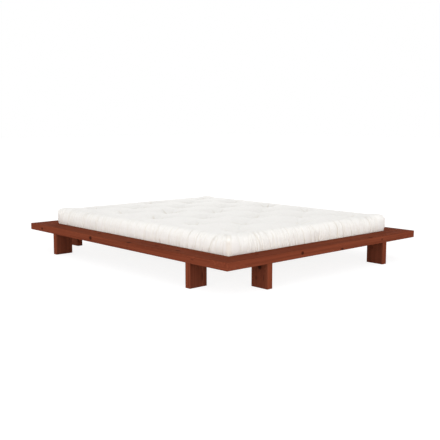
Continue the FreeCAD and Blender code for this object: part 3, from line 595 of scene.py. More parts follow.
def outline(column, columns, inset):
    """Points round the futon at each inset: four sides between the middles of four round corners,
    each an eighth turn, a straight run and an eighth turn, evenly spaced by length."""
    inset = np.asarray(inset)[:, None]
    start = np.concatenate(([0], np.cumsum(columns)))
    side = np.searchsorted(start, column, side="right") - 1
    t = ((column - start[side]) / columns[side])[None, :]
    radius = np.maximum(CORNER_ROUND - CORNER_SHRINK * inset, CORNER_LEAST)
    half = FUTON_HALF[None, None, :] - inset[:, :, None]
    along_x = (side % 2 == 0)[None, :]
    half_run = np.where(along_x, half[:, :, 0], half[:, :, 1]) - radius
    half_out = np.where(along_x, half[:, :, 1], half[:, :, 0])
    bend = radius * math.pi / 4
    length = 2 * (half_run + bend)
    place = t * length - length / 2
    past = np.abs(place) - half_run
    angle = np.clip(past, 0, None) / radius
    run = np.sign(place) * (np.minimum(np.abs(place), half_run) + radius * np.sin(angle))
    out = half_out - radius + radius * np.cos(angle)
    on_side = [side == number for number in range(4)]
    x = np.select(on_side, [run, out, -run, -out])
    y = np.select(on_side, [-out, run, out, -run])
    return np.stack((x, y), -1)


def grid_index(grid_x, grid_y):
    """The numbers of a grid's points, by column and row."""
    return np.arange((grid_x + 1) * (grid_y + 1)).reshape(grid_x + 1, grid_y + 1)


def border(grid_x, grid_y):
    """Indices of a grid's border, once round from the left foot corner, anticlockwise from above."""
    index = grid_index(grid_x, grid_y)
    return np.concatenate((index[:-1, 0], index[-1, :-1], index[:0:-1, -1], index[0, :0:-1]))


def cells(grid_x, grid_y):
    """A grid's quads, anticlockwise from above."""
    index = grid_index(grid_x, grid_y)
    return np.stack((index[:-1, :-1], index[1:, :-1], index[1:, 1:], index[:-1, 1:]), -1).reshape(-1, 4)


def band_profile(edge):
    """Inset and level of the cover from its top over a quarter round and a plain side to its base
    round."""
    turn = np.linspace(0, math.pi / 2, ROUND_ROWS)
    side = np.linspace(FUTON_EDGE - edge, FUTON_BOTTOM + BASE_ROUND, SIDE_ROWS)[1:-1]
    inset = np.concatenate((
        [SIDE_DRAW + edge + RIM_STEP], SIDE_DRAW + edge * (1 - np.sin(turn)),
        np.full(len(side), SIDE_DRAW),
        SIDE_DRAW + BASE_ROUND * (1 - np.cos(turn)), [SIDE_DRAW + BASE_ROUND + BASE_STEP],
    ))
    level = np.concatenate((
        [FUTON_EDGE], FUTON_EDGE - edge * (1 - np.cos(turn)), side,
        FUTON_BOTTOM + BASE_ROUND * (1 - np.sin(turn)), [FUTON_BOTTOM],
    ))
    return inset, level


def band_strip(edge, columns):
    """The band over the edge and down the sides, in rows of points, with each row's inset and level."""
    inset, level = band_profile(edge)
    plan = outline(np.arange(columns.sum()), columns, inset)
    height = np.broadcast_to(level[:, None, None], plan.shape[:2] + (1,))
    return inset, level, np.concatenate((plan, height), -1)


def flat_panel(grid, rim, height):
    """A level grid of points whose border lies a rim in from the futon's fullest size."""
    reach = FUTON_HALF - rim
    across, along = (np.linspace(-half, half, count + 1) for half, count in zip(reach, grid))
    gx, gy = np.meshgrid(across, along, indexing="ij")
    return np.stack((gx, gy, np.full_like(gx, height)), -1).reshape(-1, 3)


def net_faces(band_start, rows, round_count, base_grid):
    """The net's faces in five groups: top cells, their join to the band, band cells, the band's join to
    the base, base cells. A face of a join takes several of the band's points to one step of a border."""
    k = np.arange(round_count)
    floor_start = band_start + rows * round_count
    row_start = band_start + np.arange(rows)[:, None] * round_count
    here, after = row_start + k, row_start + (k + 1) % round_count
    band = np.stack((here[1:], after[1:], after[:-1], here[:-1]), -1).reshape(-1, 4)

    rim_top = border(*GRID)
    step = np.arange(len(rim_top)) * FINE
    ring = [band_start + (step + i) % round_count for i in range(FINE + 1)]
    top_join = np.stack(ring + [np.roll(rim_top, -1), rim_top], -1)

    rim_floor = floor_start + border(*base_grid)
    wide = FINE * BASE_SHARE
    step = np.arange(len(rim_floor)) * wide
    last = band_start + (rows - 1) * round_count
    ring = [last + (step + i) % round_count for i in range(wide, -1, -1)]
    floor_join = np.stack([rim_floor, np.roll(rim_floor, -1)] + ring, -1)
    return cells(*GRID), top_join, band, floor_join, floor_start + cells(*base_grid)[:, ::-1]


def net_uv(points, groups, profile, band_start, round_count):
    """The thread's place at every face corner: the plan's own on top and base, and on the band the way
    round and the way down, unrolled."""
    inset, level = profile
    run = np.concatenate(([0], np.cumsum(np.hypot(np.diff(inset), np.diff(level)))))
    around = 4 * FUTON_HALF.sum()
    way_round = np.arange(round_count) / round_count * around
    band_uv = np.stack(np.broadcast_arrays(way_round[None, :], -run[:, None]), -1).reshape(-1, 2)
    plan = points[:, :2]
    uv = []
    for kind, group in enumerate(groups):
        corner_uv = plan[group]
        if kind == BAND_GROUP:
            corner_uv = band_uv[group - band_start]
            wrap = corner_uv[..., 0].max(1) - corner_uv[..., 0].min(1) > around / 2
            corner_uv[wrap, :, 0] += np.where(corner_uv[wrap, :, 0] < around / 2, around, 0)
        uv.append(corner_uv.reshape(-1, 2))
    return np.concatenate(uv)


def futon_net():
    """The slack cover before it is filled: a top grid, a finer band over the edge and down the sides,
    whose edge is rounder between the corners than at them, and a coarse base."""
    columns = np.array((GRID[0], GRID[1], GRID[0], GRID[1])) * FINE
    round_count = columns.sum()
    inset, level, band = band_strip(EDGE_ROUND, columns)
    tight = band_strip(CORNER_EDGE_ROUND, columns)[2]
    from_corner = np.linalg.norm(FUTON_HALF - np.abs(band[len(band) // 2, :, :2]), axis=1)
    share = bell(from_corner / CORNER_BLEND)[None, :, None]
    band = (1 - share) * band + share * tight

    top = flat_panel(GRID, inset[0] + TOP_GAP, FUTON_EDGE)
    top[:, 2] += pillow(top)
    base_grid = (GRID[0] // BASE_SHARE, GRID[1] // BASE_SHARE)
    floor = flat_panel(base_grid, inset[-1] + BASE_GAP, FUTON_BOTTOM)
    points = np.concatenate((top, band.reshape(-1, 3), floor))
    far = np.linalg.norm(FUTON_HALF - np.abs(points[:, :2]), axis=1)
    push = CORNER_PUSH * bell(far / PUSH_REACH) * fade(points[:, 2], LEDGE, LEDGE + PUSH_RISE)
    upper = fade(points[:, 2], LEDGE + LIFT_START, FUTON_EDGE - LIFT_STOP)
    points[:, 2] += CORNER_LIFT * bell(far / LIFT_REACH) * upper
    points[:, :2] += np.sign(points[:, :2]) * push[:, None]

    band_start, floor_start = len(top), len(top) + band.shape[0] * round_count
    groups = net_faces(band_start, band.shape[0], round_count, base_grid)
    uv = net_uv(points, groups, (inset, level), band_start, round_count)
    faces = [face for group in groups for face in group.tolist()]
    in_band = np.zeros(len(points), bool)
    in_band[band_start:floor_start] = True
    return points, faces, uv, in_band, len(top)


def add_cloth(sim):
    """Cloth under pressure and without weight, held at its tufts and base, most slack at the sides."""
    modifier = sim.modifiers.new("cloth", "CLOTH")
    modifier.collision_settings.use_collision = False
    cloth = modifier.settings
    cloth.quality = 6
    cloth.mass = 0.3
    cloth.tension_stiffness = cloth.compression_stiffness = 20
    cloth.shear_stiffness = 6
    cloth.bending_stiffness = 0.15
    cloth.use_pressure = True
    cloth.uniform_pressure_force = 2
    cloth.vertex_group_mass = "held"
    cloth.vertex_group_shrink = "gathered"
    cloth.shrink_min, cloth.shrink_max = -0.010, -0.05
    cloth.effector_weights.gravity = 0


def fill_futon():
    """The cover swells round its held tufts and base: cloth with pressure and slack, and no point moves
    further than its region's cap, cap times tanh of its way over the cap."""
    points, faces, uv, in_band, top_count = futon_net()
    chance = np.random.default_rng(7)
    on_top = np.arange(len(points)) < top_count
    loose = on_top | in_band
    start = points + chance.normal(0, START_WOBBLE, points.shape) * loose[:, None]
    mesh = mesh_of("futon_cloth", start, faces, uv)
    sim = bpy.data.objects.new("futon_cloth", mesh)
    bpy.context.scene.collection.objects.link(sim)
    at_tuft = on_top & (tuft_distance(points) < HELD_RADIUS)
    held = np.flatnonzero(at_tuft | (points[:, 2] < FUTON_BOTTOM + LEVEL_PLAY))
    sim.vertex_groups.new(name="held").add(held.tolist(), 1.0, "REPLACE")
    gathered = np.flatnonzero(in_band & (points[:, 2] < FUTON_EDGE - LEVEL_PLAY))
    sim.vertex_groups.new(name="gathered").add(gathered.tolist(), 1.0, "REPLACE")
    add_cloth(sim)
    scene = bpy.context.scene
    for step in range(1, SIM_FRAMES + 1):
        scene.frame_set(step)
    evaluated = sim.evaluated_get(bpy.context.evaluated_depsgraph_get())
    swollen = read_points(evaluated.data)
    scene.frame_set(1)
    bpy.data.objects.remove(sim)
    moved = swollen - start
    length = np.linalg.norm(moved, axis=1, keepdims=True)
    cap = np.where(on_top, TOP_SWELL, SIDE_SWELL)[:, None]
    moved *= cap * np.tanh(length / cap) / np.maximum(length, 1e-9)
    mesh.vertices.foreach_set("co", (start + moved).astype(np.float32).ravel())
    mesh.update()
    return mesh


def refined(mesh):
    """The mesh after one subdivision."""
    made = bpy.data.objects.new("refining", mesh)
    bpy.context.scene.collection.objects.link(made)
    modifier = made.modifiers.new("finer", "SUBSURF")
    modifier.levels = modifier.render_levels = 1
    graph = bpy.context.evaluated_depsgraph_get()
    finer = bpy.data.meshes.new_from_object(
        made.evaluated_get(graph), preserve_all_data_layers=True, depsgraph=graph,
    )
    bpy.data.objects.remove(made)
    return finer


def read_points(mesh):
    """A mesh's points as one array."""
    flat = np.zeros(len(mesh.vertices) * 3, np.float32)
    mesh.vertices.foreach_get("co", flat)
    return flat.reshape(-1, 3).astype(float)


def read_normals(mesh):
    """The normals at a mesh's points as one array."""
    flat = np.zeros(len(mesh.vertices) * 3, np.float32)
    mesh.vertex_normals.foreach_get("vector", flat)
    return flat.reshape(-1, 3).astype(float)


def round_place(points):
    """How far round the futon each point lies, by length along a rounded rectangle, from the left foot
    corner, with the whole way round and the places of the four corners."""
    radius = 0.06
    run = 2 * (FUTON_HALF - radius)
    arc = radius * math.pi / 2
    core = np.clip(points[:, :2], -(FUTON_HALF - radius), FUTON_HALF - radius)
    out = points[:, :2] - core
    turn = np.arctan2(np.abs(out[:, 1]), np.abs(out[:, 0]))
    x, y = points[:, 0], points[:, 1]
    corner = (np.abs(out) > 1e-9).all(1)
    inward = FUTON_HALF - np.abs(points[:, :2])
    foot = inward[:, 1] < inward[:, 0]
    starts = np.cumsum([arc / 2, run[0], arc, run[1], arc, run[0], arc, run[1]])
    along = np.select(
        [~corner & foot & (y < 0), ~corner & ~foot & (x > 0), ~corner & foot & (y > 0)],
        [
            starts[0] + core[:, 0] + run[0] / 2,
            starts[2] + core[:, 1] + run[1] / 2,
            starts[4] + run[0] / 2 - core[:, 0],
        ],
        starts[6] + run[1] / 2 - core[:, 1],
    )
    bend = radius * turn
    at_corner = np.select(
        [(x < 0) & (y < 0), (x > 0) & (y < 0), (x > 0) & (y > 0)],
        [bend - arc / 2, starts[1] + arc - bend, starts[3] + bend],
        starts[5] + arc - bend,
    )
    whole = starts[7] + arc / 2
    corners = np.array((0, starts[1], starts[3], starts[5])) + np.array((0, arc, arc, arc)) / 2
    return np.where(corner, at_corner, along) % whole, whole, corners


# How far in from the side the way over the edge begins to count
OVER_EDGE = 0.03


def climb(points):
    """How far up the side and over its edge each point lies: height over the ledge, then the way
    inwards."""
    inward = (FUTON_HALF - np.abs(points[:, :2])).min(1)
    return np.clip(points[:, 2] - LEDGE, 0, FUTON_EDGE - LEDGE) + np.maximum(inward - OVER_EDGE, 0)


def corner_offset(around, whole, corners):
    """Distance round the futon from the nearest corner, positive along the foot and head sides."""
    off = (around[:, None] - corners + whole / 2) % whole - whole / 2
    nearest = np.abs(off).argmin(1)[:, None]
    return np.take_along_axis(off * np.array((1, -1, 1, -1)), nearest, 1)[:, 0]


# Folded corners, by the way round from the corner: depth of the panel and where it fades out sideways and
# upwards; depth, place and width of its creases, of the flap's crease and of the flap; and where these
# fade out upwards
PANEL_DEPTH, PANEL_HALF, PANEL_TOP = 0.003, (0.011, 0.018), (0.070, 0.095)
CREASE_DEPTH, CREASE_PLACE, CREASE_WIDTH = 0.0032, 0.018, 0.0028
FLAP_CREASE_DEPTH, FLAP_CREASE_PLACE, FLAP_CREASE_WIDTH = 0.0030, 0.088, 0.0045
FLAP_FULL, FLAP_PLACE, FLAP_WIDTH = 0.0035, 0.052, 0.022
FOLD_TOP = (0.095, 0.145)


def corner_depth(points, offset):
    """Folded corners: a shallow upright panel between two creases and, beside it on the foot or head side,
    a smooth full flap, a bell outwards, that ends in a third crease."""
    rise = climb(points)
    panel = PANEL_DEPTH * (1 - fade(np.abs(offset), *PANEL_HALF)) * (1 - fade(rise, *PANEL_TOP))
    lines = CREASE_DEPTH * (
        bell((offset - CREASE_PLACE) / CREASE_WIDTH) + bell((offset + CREASE_PLACE) / CREASE_WIDTH)
    )
    flap_crease = FLAP_CREASE_DEPTH * bell((offset - FLAP_CREASE_PLACE) / FLAP_CREASE_WIDTH)
    flap = flap_crease - FLAP_FULL * bell((offset - FLAP_PLACE) / FLAP_WIDTH)
    return panel + (lines + flap) * (1 - fade(rise, *FOLD_TOP))


# The near corner's tuck: how far it goes in, and further between its edges; where its edges, its height
# and its painted shade fade out; and how far below the ledge it begins
TUCK, TUCK_MORE = 0.018, 0.008
TUCK_HALF = (0.010, 0.030)
TUCK_TOP = (0.020, 0.110)
TUCK_SHADE = (0.060, 0.120)
TUCK_BELOW = 0.02


def tuck_corner(points):
    """The left foot corner's tuck: points beyond an upright plane across the corner go back to it, and a
    little deeper between its two edges. Returns how far each point lies in the tuck, which sets its
    painted shade."""
    inside = points[:, :2] + FUTON_HALF
    deep = inside.sum(1)
    across = np.abs(inside[:, 0] - inside[:, 1])
    height = (1 - fade(climb(points), *TUCK_TOP)) * fade(points[:, 2], LEDGE - TUCK_BELOW, LEDGE)
    middle = 1 - fade(across, *TUCK_HALF)
    level = TUCK + TUCK_MORE * middle
    back = np.maximum(level - deep, 0) * height
    points[:, :2] += back[:, None] / 2
    return middle * (1 - fade(deep, *TUCK_SHADE))


# Coarse and fine gathers: mean pitch, least and most width, least depth and spread of depth
GATHERS = ((0.017, 0.0026, 0.0046, 0.0010, 0.0018), (0.0095, 0.0020, 0.0030, 0.0003, 0.0006))
# How uneven their places and depths are, their lean, how far up they reach and how softly they end
PLACE_SHAPE, DEPTH_SHAPE = 3.5, 1.4
SPARE_PLACES = 1.4
LAST_GAP = 0.008
LEAN, LEAN_LEVEL = 0.13, 0.05
GATHER_REACH = (0.100, 0.215)
GATHER_END = 0.075
GATHER_TOP, GATHER_BELOW = 0.22, 0.015
# Their depth by height: a share all over, one low down and one round the top edge
SHARE_ALL = 0.70
SHARE_LOW, LOW_BAND = 0.35, (0.010, 0.060)
SHARE_EDGE, EDGE_LEVEL, EDGE_WIDTH = 0.30, 0.095, 0.045
# The corners' plain stretch, by the way round from the corner
PLAIN_START, PLAIN_END = (-0.030, -0.018), (0.080, 0.092)
BLOCKS = 24


def gather_depth(points, around, whole, offset):
    """Gathers of the sides: narrow valleys at uneven places round the futon, each a bell across,
    leaning a little, which run from the ledge up over the top edge and fade out at their own reach."""
    chance = np.random.default_rng(21)
    rise = climb(points)
    side = np.flatnonzero((rise < GATHER_TOP) & (points[:, 2] > LEDGE - GATHER_BELOW))
    here, height = around[side][:, None], rise[side][:, None]
    total = np.zeros(len(side))
    for pitch, narrow, broad, least, spread in GATHERS:
        tries = int(SPARE_PLACES * whole / pitch)
        places = np.cumsum(chance.gamma(PLACE_SHAPE, pitch / PLACE_SHAPE, tries))
        places = places[places < whole - LAST_GAP]
        count = len(places)
        width = chance.uniform(narrow, broad, count)
        depth = least + chance.gamma(DEPTH_SHAPE, spread, count)
        lean = chance.normal(0, LEAN, count)
        reach = chance.uniform(*GATHER_REACH, count)
        for block in np.array_split(np.arange(count), BLOCKS):
            off = here - places[block] - lean[block] * (height - LEAN_LEVEL)
            off = (off + whole / 2) % whole - whole / 2
            left = 1 - fade(height, reach[block] - GATHER_END, reach[block])
            total += (depth[block] * bell(off / width[block]) * left).sum(1)
    low = SHARE_LOW * (1 - fade(rise[side], *LOW_BAND))
    total *= SHARE_ALL + low + SHARE_EDGE * bell((rise[side] - EDGE_LEVEL) / EDGE_WIDTH)
    plain = fade(offset[side], *PLAIN_START) * (1 - fade(offset[side], *PLAIN_END))
    result = np.zeros(len(points))
    result[side] = total * (1 - plain)
    return result


# Creases of a tuft: least count and one past the most, stray of their directions, least and most length,
# depth and width, how the width grows along them, spread of their bow, half the square that holds them,
# where they start and begin to taper, and how far below the edge they may lie
CREASE_COUNT = (4, 7)
CREASE_STRAY = 0.25
TUFT_CREASE_LENGTH = (0.05, 0.15)
TUFT_CREASE_DEPTH = (0.0035, 0.0105)
TUFT_CREASE_WIDTH = (0.0045, 0.0070)
CREASE_WAIST, CREASE_WIDEN = 0.7, 0.8
CREASE_BOW = 2.5
CREASE_SQUARE = 0.17
CREASE_START = 0.012
CREASE_TAPER = 0.30
TOP_BAND = 0.04


def tuft_depth(points):
    """Short creases that run out from each tuft: valleys with a bell across, which widens outwards, and a
    taper along, slightly bowed."""
    chance = np.random.default_rng(5)
    top = np.flatnonzero(points[:, 2] > FUTON_EDGE - TOP_BAND)
    total = np.zeros(len(top))
    for x, y in TUFTS:
        count = chance.integers(*CREASE_COUNT)
        spread = np.arange(count) * 2 * math.pi / count
        angle = chance.uniform(0, 2 * math.pi / count) + spread + chance.normal(0, CREASE_STRAY, count)
        length = chance.uniform(*TUFT_CREASE_LENGTH, count)
        depth = chance.uniform(*TUFT_CREASE_DEPTH, count)
        width = chance.uniform(*TUFT_CREASE_WIDTH, count)
        bow = chance.normal(0, CREASE_BOW, count)
        off = points[top, :2] - (x, y)
        close = np.flatnonzero((np.abs(off) < CREASE_SQUARE).all(1))
        along = off[close] @ np.stack((np.cos(angle), np.sin(angle)))
        over = off[close] @ np.stack((-np.sin(angle), np.cos(angle))) - bow * along ** 2
        reach = fade(along, 0, CREASE_START) * (1 - fade(along, CREASE_TAPER * length, length))
        broad = width * (CREASE_WAIST + CREASE_WIDEN * along / length)
        total[close] += (depth * bell(over / broad) * reach).sum(1)
    result = np.zeros(len(points))
    result[top] = total
    return result


# How softly the sides stop at the outline, how much narrower they are below the ledge, and over what rise
SIDE_GIVE = 0.006
BELOW_LEDGE, BELOW_RISE = 0.006, 0.010
# The crease depth that gives full painted shade, and the share of painted shade, warmer and darker, in the
# tuck and on the lowest part of the sides
FULL_SHADE_DEPTH = 0.0075
TUCK_SHADE_SHARE = 0.5
LOW_SHADE_SHARE, LOW_RISE = 0.40, 0.045


def make_futon():
    """The filled cover, pushed in along its normals by the depth of its gathers, creases and folds, and
    kept inside the outline and over the slats. Returns its points."""
    mesh = refined(fill_futon())
    points, normals = read_points(mesh), read_normals(mesh)
    around, whole, corners = round_place(points)
    offset = corner_offset(around, whole, corners)
    depth = gather_depth(points, around, whole, offset) + tuft_depth(points)
    depth += corner_depth(points, offset)
    points -= normals * depth[:, None]
    # The tuck's share is painted shade, darker and warmer in the recess
    tuck_shade = tuck_corner(points)
    above = fade(points[:, 2:3], LEDGE, LEDGE + BELOW_RISE)
    limit = FUTON_HALF - BELOW_LEDGE * (1 - above) - SIDE_GIVE
    over = np.maximum(np.abs(points[:, :2]) - limit, 0)
    points[:, :2] -= np.sign(points[:, :2]) * (over - SIDE_GIVE * np.tanh(over / SIDE_GIVE))
    points[:, 2] = np.maximum(points[:, 2], FUTON_BOTTOM)
    mesh.vertices.foreach_set("co", points.astype(np.float32).ravel())
    # Painted shade low on the sides: warmer and darker towards the ledge
    low_shade = LOW_SHADE_SHARE * (1 - fade(climb(points), 0.0, LOW_RISE))
    # Painted shade in the creases and folds, full at a set crease depth, with the tuck's and the low
    # sides' added
    painted_shade = np.clip(depth / FULL_SHADE_DEPTH, 0, 1) + TUCK_SHADE_SHARE * tuck_shade + low_shade
    mesh.attributes.new("painted_shade", "FLOAT", "POINT").data.foreach_set("value", painted_shade.astype(np.float32))
    mesh.update()
    mesh.name = "futon"
    clean, shade = rgb(0.895, 0.88, 0.855), rgb(0.875, 0.855, 0.82)
    cover = cotton("cotton_cover", clean, shade, pitch=0.0011, relief=0.0003)
    futon = piece("futon", mesh, cover, "futon")
    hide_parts("futon_cover", "upper_wadding", "foam_core", "lower_wadding")
    return points


# Tuft yarn: radius and sides of the yarn, share of the radius at its tip and gained per point from there,
# points along an arch, and its sideways bow; for each arch of a stitch its turn, length and lift; and how
# far the last one's end stands up
YARN_RADIUS, YARN_SIDES = 0.0014, 7
TIP_SHARE, TIP_STEP = 0.05, 0.9
ARCH_POINTS = 11
ARCH_BOW = 0.0016
ARCHES = ((0, 0.016, 0.0030), (1.35, 0.014, 0.0046), (0.5, 0.020, 0.0034))
END_LIFT = 0.0012
# A stitch lies at the mean level of the nearest points of the top; points below a level count as far away
NEAR_POINTS = 6
BELOW_TOP = 0.25
FAR_AWAY = 10
# A direction that no path runs along
ASKEW = (0.31, 0.47, 0.83)


def tube(path, radius, sides):
    """A closed-ended tube: a circle of sides points carried along a path, its ends drawn to a point."""
    step = np.gradient(path, axis=0)
    step /= np.linalg.norm(step, axis=1, keepdims=True)
    first = np.cross(step, ASKEW)
    first /= np.linalg.norm(first, axis=1, keepdims=True)
    second = np.cross(step, first)
    turn = np.arange(sides) * 2 * math.pi / sides
    index = np.arange(len(path))
    from_end = np.minimum(index, index[::-1])
    thick = radius * np.minimum(1, from_end * TIP_STEP + TIP_SHARE)
    ring = first[:, None] * np.cos(turn)[None, :, None] + second[:, None] * np.sin(turn)[None, :, None]
    points = (path[:, None] + ring * thick[:, None, None]).reshape(-1, 3)
    here = np.arange(len(path) * sides).reshape(len(path), sides)
    after = np.roll(here, -1, 1)
    faces = np.stack((here[:-1], after[:-1], after[1:], here[1:]), -1).reshape(-1, 4)
    return points, faces.tolist() + [here[0][::-1].tolist(), here[-1].tolist()]


def tie_yarn():
    """Cotton yarn: fine plies in colour and relief."""
    paint = Finish("tie_yarn")
    ply = paint.noise(paint.object_place(), scale=1400.0, detail=2.0)
    colour = paint.mix(ply, rgb(0.80, 0.77, 0.71), rgb(0.88, 0.86, 0.82))
    return paint.finish(Base_Color=colour, Roughness=0.9, Normal=paint.bump(ply, 0.0004, 0.7))


def make_tuft_yarn(surface):
    """At each tuft a stitch of yarn: three short arches that cross, each a parabola along with a sine to
    the side, the last one with an end that stands up."""
    chance = np.random.default_rng(3)
    all_points, all_faces = [], []
    t = np.linspace(-1, 1, ARCH_POINTS)
    for x, y in TUFTS:
        away = ((surface[:, :2] - (x, y)) ** 2).sum(1) + FAR_AWAY * (surface[:, 2] < BELOW_TOP)
        level = surface[np.argsort(away)[:NEAR_POINTS], 2].mean()
        spin = chance.uniform(0, math.pi)
        for arch, (turn, length, lift) in enumerate(ARCHES):
            run = t * length / 2
            bow = ARCH_BOW * np.sin(3 * t + arch)
            heading = spin + turn
            path = np.stack((
                x + run * math.cos(heading) - bow * math.sin(heading),
                y + run * math.sin(heading) + bow * math.cos(heading),
                level + lift * (1 - t ** 2) + END_LIFT * (arch == len(ARCHES) - 1) * t,
            ), -1)
            points, faces = tube(path, YARN_RADIUS, YARN_SIDES)
            start = sum(len(p) for p in all_points)
            all_points.append(points)
            all_faces += [[i + start for i in face] for face in faces]
    mesh = mesh_of("tuft_yarn", np.concatenate(all_points), all_faces)
    yarn = piece("tuft_yarn", mesh, tie_yarn(), "futon")
    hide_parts("tuft_ties")


make_tuft_yarn(make_futon())

# Tapes: points along, sag between two slats, play under the slats, and the section's corners as shares of
# half the width and half the thickness
TAPE_POINTS = 361
TAPE_SAG = 0.0022
TAPE_PLAY = 0.00005
TAPE_ACROSS = np.array((-1, -0.96, 0.96, 1, 1, 0.96, -0.96, -1))
TAPE_UP = np.array((0.5, 1, 1, 0.5, -0.5, -1, -1, -0.5))


def make_ribbon(name):
    """A woven tape under the slats: a flat rounded section carried along Y, which sags between the slats
    in a parabola."""
    low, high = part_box(name)
    y = np.linspace(low.y, high.y, TAPE_POINTS)
    phase = (y - slat_middle.y) / slat_pitch
    gap = np.abs(phase - np.round(phase)) * slat_pitch - slat_half.y
    room = slat_pitch / 2 - slat_half.y
    share = np.clip(gap / room, 0, 1)
    sag = TAPE_SAG * share * (2 - share)
    half_width, half_thick = (high.x - low.x) / 2, (high.z - low.z) / 2 - TAPE_PLAY
    across = TAPE_ACROSS * half_width + (low.x + high.x) / 2
    up = TAPE_UP * half_thick + (low.z + high.z) / 2
    sides = len(across)
    section = np.stack((across, np.zeros(sides), up), -1)
    points = section[None] + np.stack((np.zeros(TAPE_POINTS), y, -sag), -1)[:, None]
    points = points.reshape(-1, 3)
    here = np.arange(TAPE_POINTS * sides).reshape(TAPE_POINTS, sides)
    after = np.roll(here, -1, 1)
    faces = np.stack((here[:-1], here[1:], after[1:], after[:-1]), -1).reshape(-1, 4)
    caps = [here[0].tolist(), here[-1][::-1].tolist()]
    span = points[:, :2]
    uv = np.concatenate([span[faces].reshape(-1, 2), span[np.array(caps)].reshape(-1, 2)])
    mesh = mesh_of(f"{name}_tape", points, faces.tolist() + caps, uv)
    tape = piece(f"{name}_tape", mesh, tape_weave, "frame")
    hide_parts(name)


tape_weave = cotton(
    "woven_ribbon", rgb(0.70, 0.66, 0.57), rgb(0.60, 0.55, 0.46), pitch=0.0016, relief=0.0004,
)
for ribbon in ("slat_ribbon_left", "slat_ribbon_right"):
    make_ribbon(ribbon)


# Stage
# Half the floor; its colour to plain light, and to the eye the colour that takes the shadow and the glow
# that makes it white; the surround's light low down and high up; and the side of a softbox
FLOOR_HALF = 40
FLOOR_PLAIN = 0.86
FLOOR_SHADOW = 0.26
FLOOR_WHITE = 0.86
WORLD_LOW = 1.19
WORLD_HIGH = 0.66
LAMP_SIZE = 2.0
# Softboxes: place, the point they are turned to, and power
SOFTBOXES = {
    "left_softbox": ((-5.4, -1.6, 1.02), (-0.4, 0.0, 0.2), 66.0),
    "front_softbox": ((-0.8, -5.4, 1.02), (0.0, -0.4, 0.2), 53.0),
    "back_softbox": ((3.6, 4.6, 1.8), (0.0, 0.0, 0.2), 92.0),
}
# Camera: place, degrees turned from +Y towards +X and tilted down, lens and sensor in millimetres
CAMERA_PLACE = (-3.74555, -4.14550, 0.99793)
CAMERA_YAW = 42.4498
CAMERA_PITCH = 7.5375
CAMERA_LENS = 59.8588
SENSOR_WIDTH = 36.0


def seen_rays(tree):
    """A socket that is 1 on rays from the camera, from gloss and through glass, and 0 on plain light."""
    path = tree.nodes.new("ShaderNodeLightPath")
    result = path.outputs["Is Camera Ray"]
    for ray in ("Is Glossy Ray", "Is Transmission Ray"):
        larger = tree.nodes.new("ShaderNodeMath")
        larger.operation = "MAXIMUM"
        tree.links.new(result, larger.inputs[0])
        tree.links.new(path.outputs[ray], larger.inputs[1])
        result = larger.outputs[0]
    return result


def make_floor():
    """A pale floor: plain light for the object, white to the eye with a soft shadow left in it."""
    mesh = bpy.data.meshes.new("floor")
    corners = [(x * FLOOR_HALF, y * FLOOR_HALF, 0) for x, y in ((-1, -1), (1, -1), (1, 1), (-1, 1))]
    mesh.from_pydata(corners, [], [(0, 1, 2, 3)])
    floor = bpy.data.objects.new("floor", mesh)
    bpy.context.scene.collection.objects.link(floor)
    material = bpy.data.materials.new("floor")
    material.use_nodes = True
    tree = material.node_tree
    tree.nodes.clear()
    plain = tree.nodes.new("ShaderNodeBsdfDiffuse")
    plain.inputs["Color"].default_value = rgb(FLOOR_PLAIN, FLOOR_PLAIN, FLOOR_PLAIN)
    shaded = tree.nodes.new("ShaderNodeBsdfDiffuse")
    shaded.inputs["Color"].default_value = rgb(FLOOR_SHADOW, FLOOR_SHADOW, FLOOR_SHADOW)
    glow = tree.nodes.new("ShaderNodeEmission")
    glow.inputs["Strength"].default_value = FLOOR_WHITE
    lit = tree.nodes.new("ShaderNodeAddShader")
    tree.links.new(shaded.outputs[0], lit.inputs[0])
    tree.links.new(glow.outputs[0], lit.inputs[1])
    choose = tree.nodes.new("ShaderNodeMixShader")
    for socket, source in zip(choose.inputs, (seen_rays(tree), plain.outputs[0], lit.outputs[0])):
        tree.links.new(source, socket)
    out = tree.nodes.new("ShaderNodeOutputMaterial")
    tree.links.new(choose.outputs[0], out.inputs[0])
    mesh.materials.append(material)


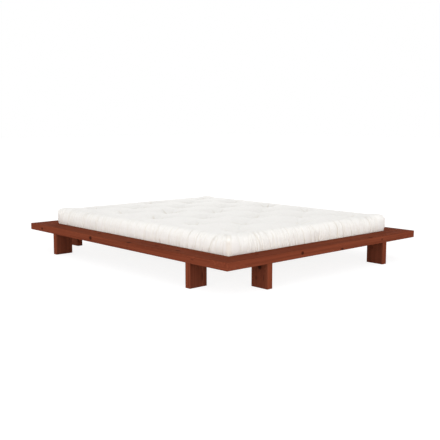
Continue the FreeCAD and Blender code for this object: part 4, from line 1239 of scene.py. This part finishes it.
def make_world():
    """A white surround, a little brighter low down in the light it gives, plain white where it is
    seen."""
    world = bpy.data.worlds.new("studio")
    bpy.context.scene.world = world
    world.use_nodes = True
    tree = world.node_tree
    tree.nodes.clear()
    way = tree.nodes.new("ShaderNodeTexCoord")
    parts = tree.nodes.new("ShaderNodeSeparateXYZ")
    tree.links.new(way.outputs["Generated"], parts.inputs[0])
    light = tree.nodes.new("ShaderNodeMapRange")
    tree.links.new(parts.outputs[Z], light.inputs[0])
    light.inputs[3].default_value = WORLD_LOW
    light.inputs[4].default_value = WORLD_HIGH
    level = tree.nodes.new("ShaderNodeMix")
    tree.links.new(seen_rays(tree), level.inputs[0])
    tree.links.new(light.outputs[0], level.inputs[2])
    level.inputs[3].default_value = 1.0
    sky = tree.nodes.new("ShaderNodeBackground")
    tree.links.new(level.outputs[0], sky.inputs["Strength"])
    sky.inputs["Color"].default_value = rgb(1, 1, 1)
    out = tree.nodes.new("ShaderNodeOutputWorld")
    tree.links.new(sky.outputs[0], out.inputs[0])


def make_softbox(name, place, aim, power):
    """A square soft lamp at a place, turned to a point."""
    lamp = bpy.data.lights.new(name, "AREA")
    lamp.shape = "SQUARE"
    lamp.size = LAMP_SIZE
    lamp.energy = power
    held = bpy.data.objects.new(name, lamp)
    bpy.context.scene.collection.objects.link(held)
    held.location = place
    way = np.array(aim, float) - np.array(place, float)
    tilt = math.atan2(math.hypot(way[0], way[1]), -way[2])
    held.rotation_euler = (tilt, 0, math.atan2(-way[0], way[1]))
    held.visible_camera = False


def make_camera():
    """The photograph's camera, fitted to the frame's corners and legs."""
    lens = bpy.data.cameras.new("camera")
    lens.sensor_width = SENSOR_WIDTH
    lens.lens = CAMERA_LENS
    held = bpy.data.objects.new("camera", lens)
    bpy.context.scene.collection.objects.link(held)
    held.location = CAMERA_PLACE
    held.rotation_euler = (math.radians(90 - CAMERA_PITCH), 0, -math.radians(CAMERA_YAW))
    bpy.context.scene.camera = held


make_floor()
make_world()
for softbox, (lamp_place, lamp_aim, lamp_power) in SOFTBOXES.items():
    make_softbox(softbox, lamp_place, lamp_aim, lamp_power)
make_camera()
bpy.context.scene.view_settings.view_transform = "Standard"
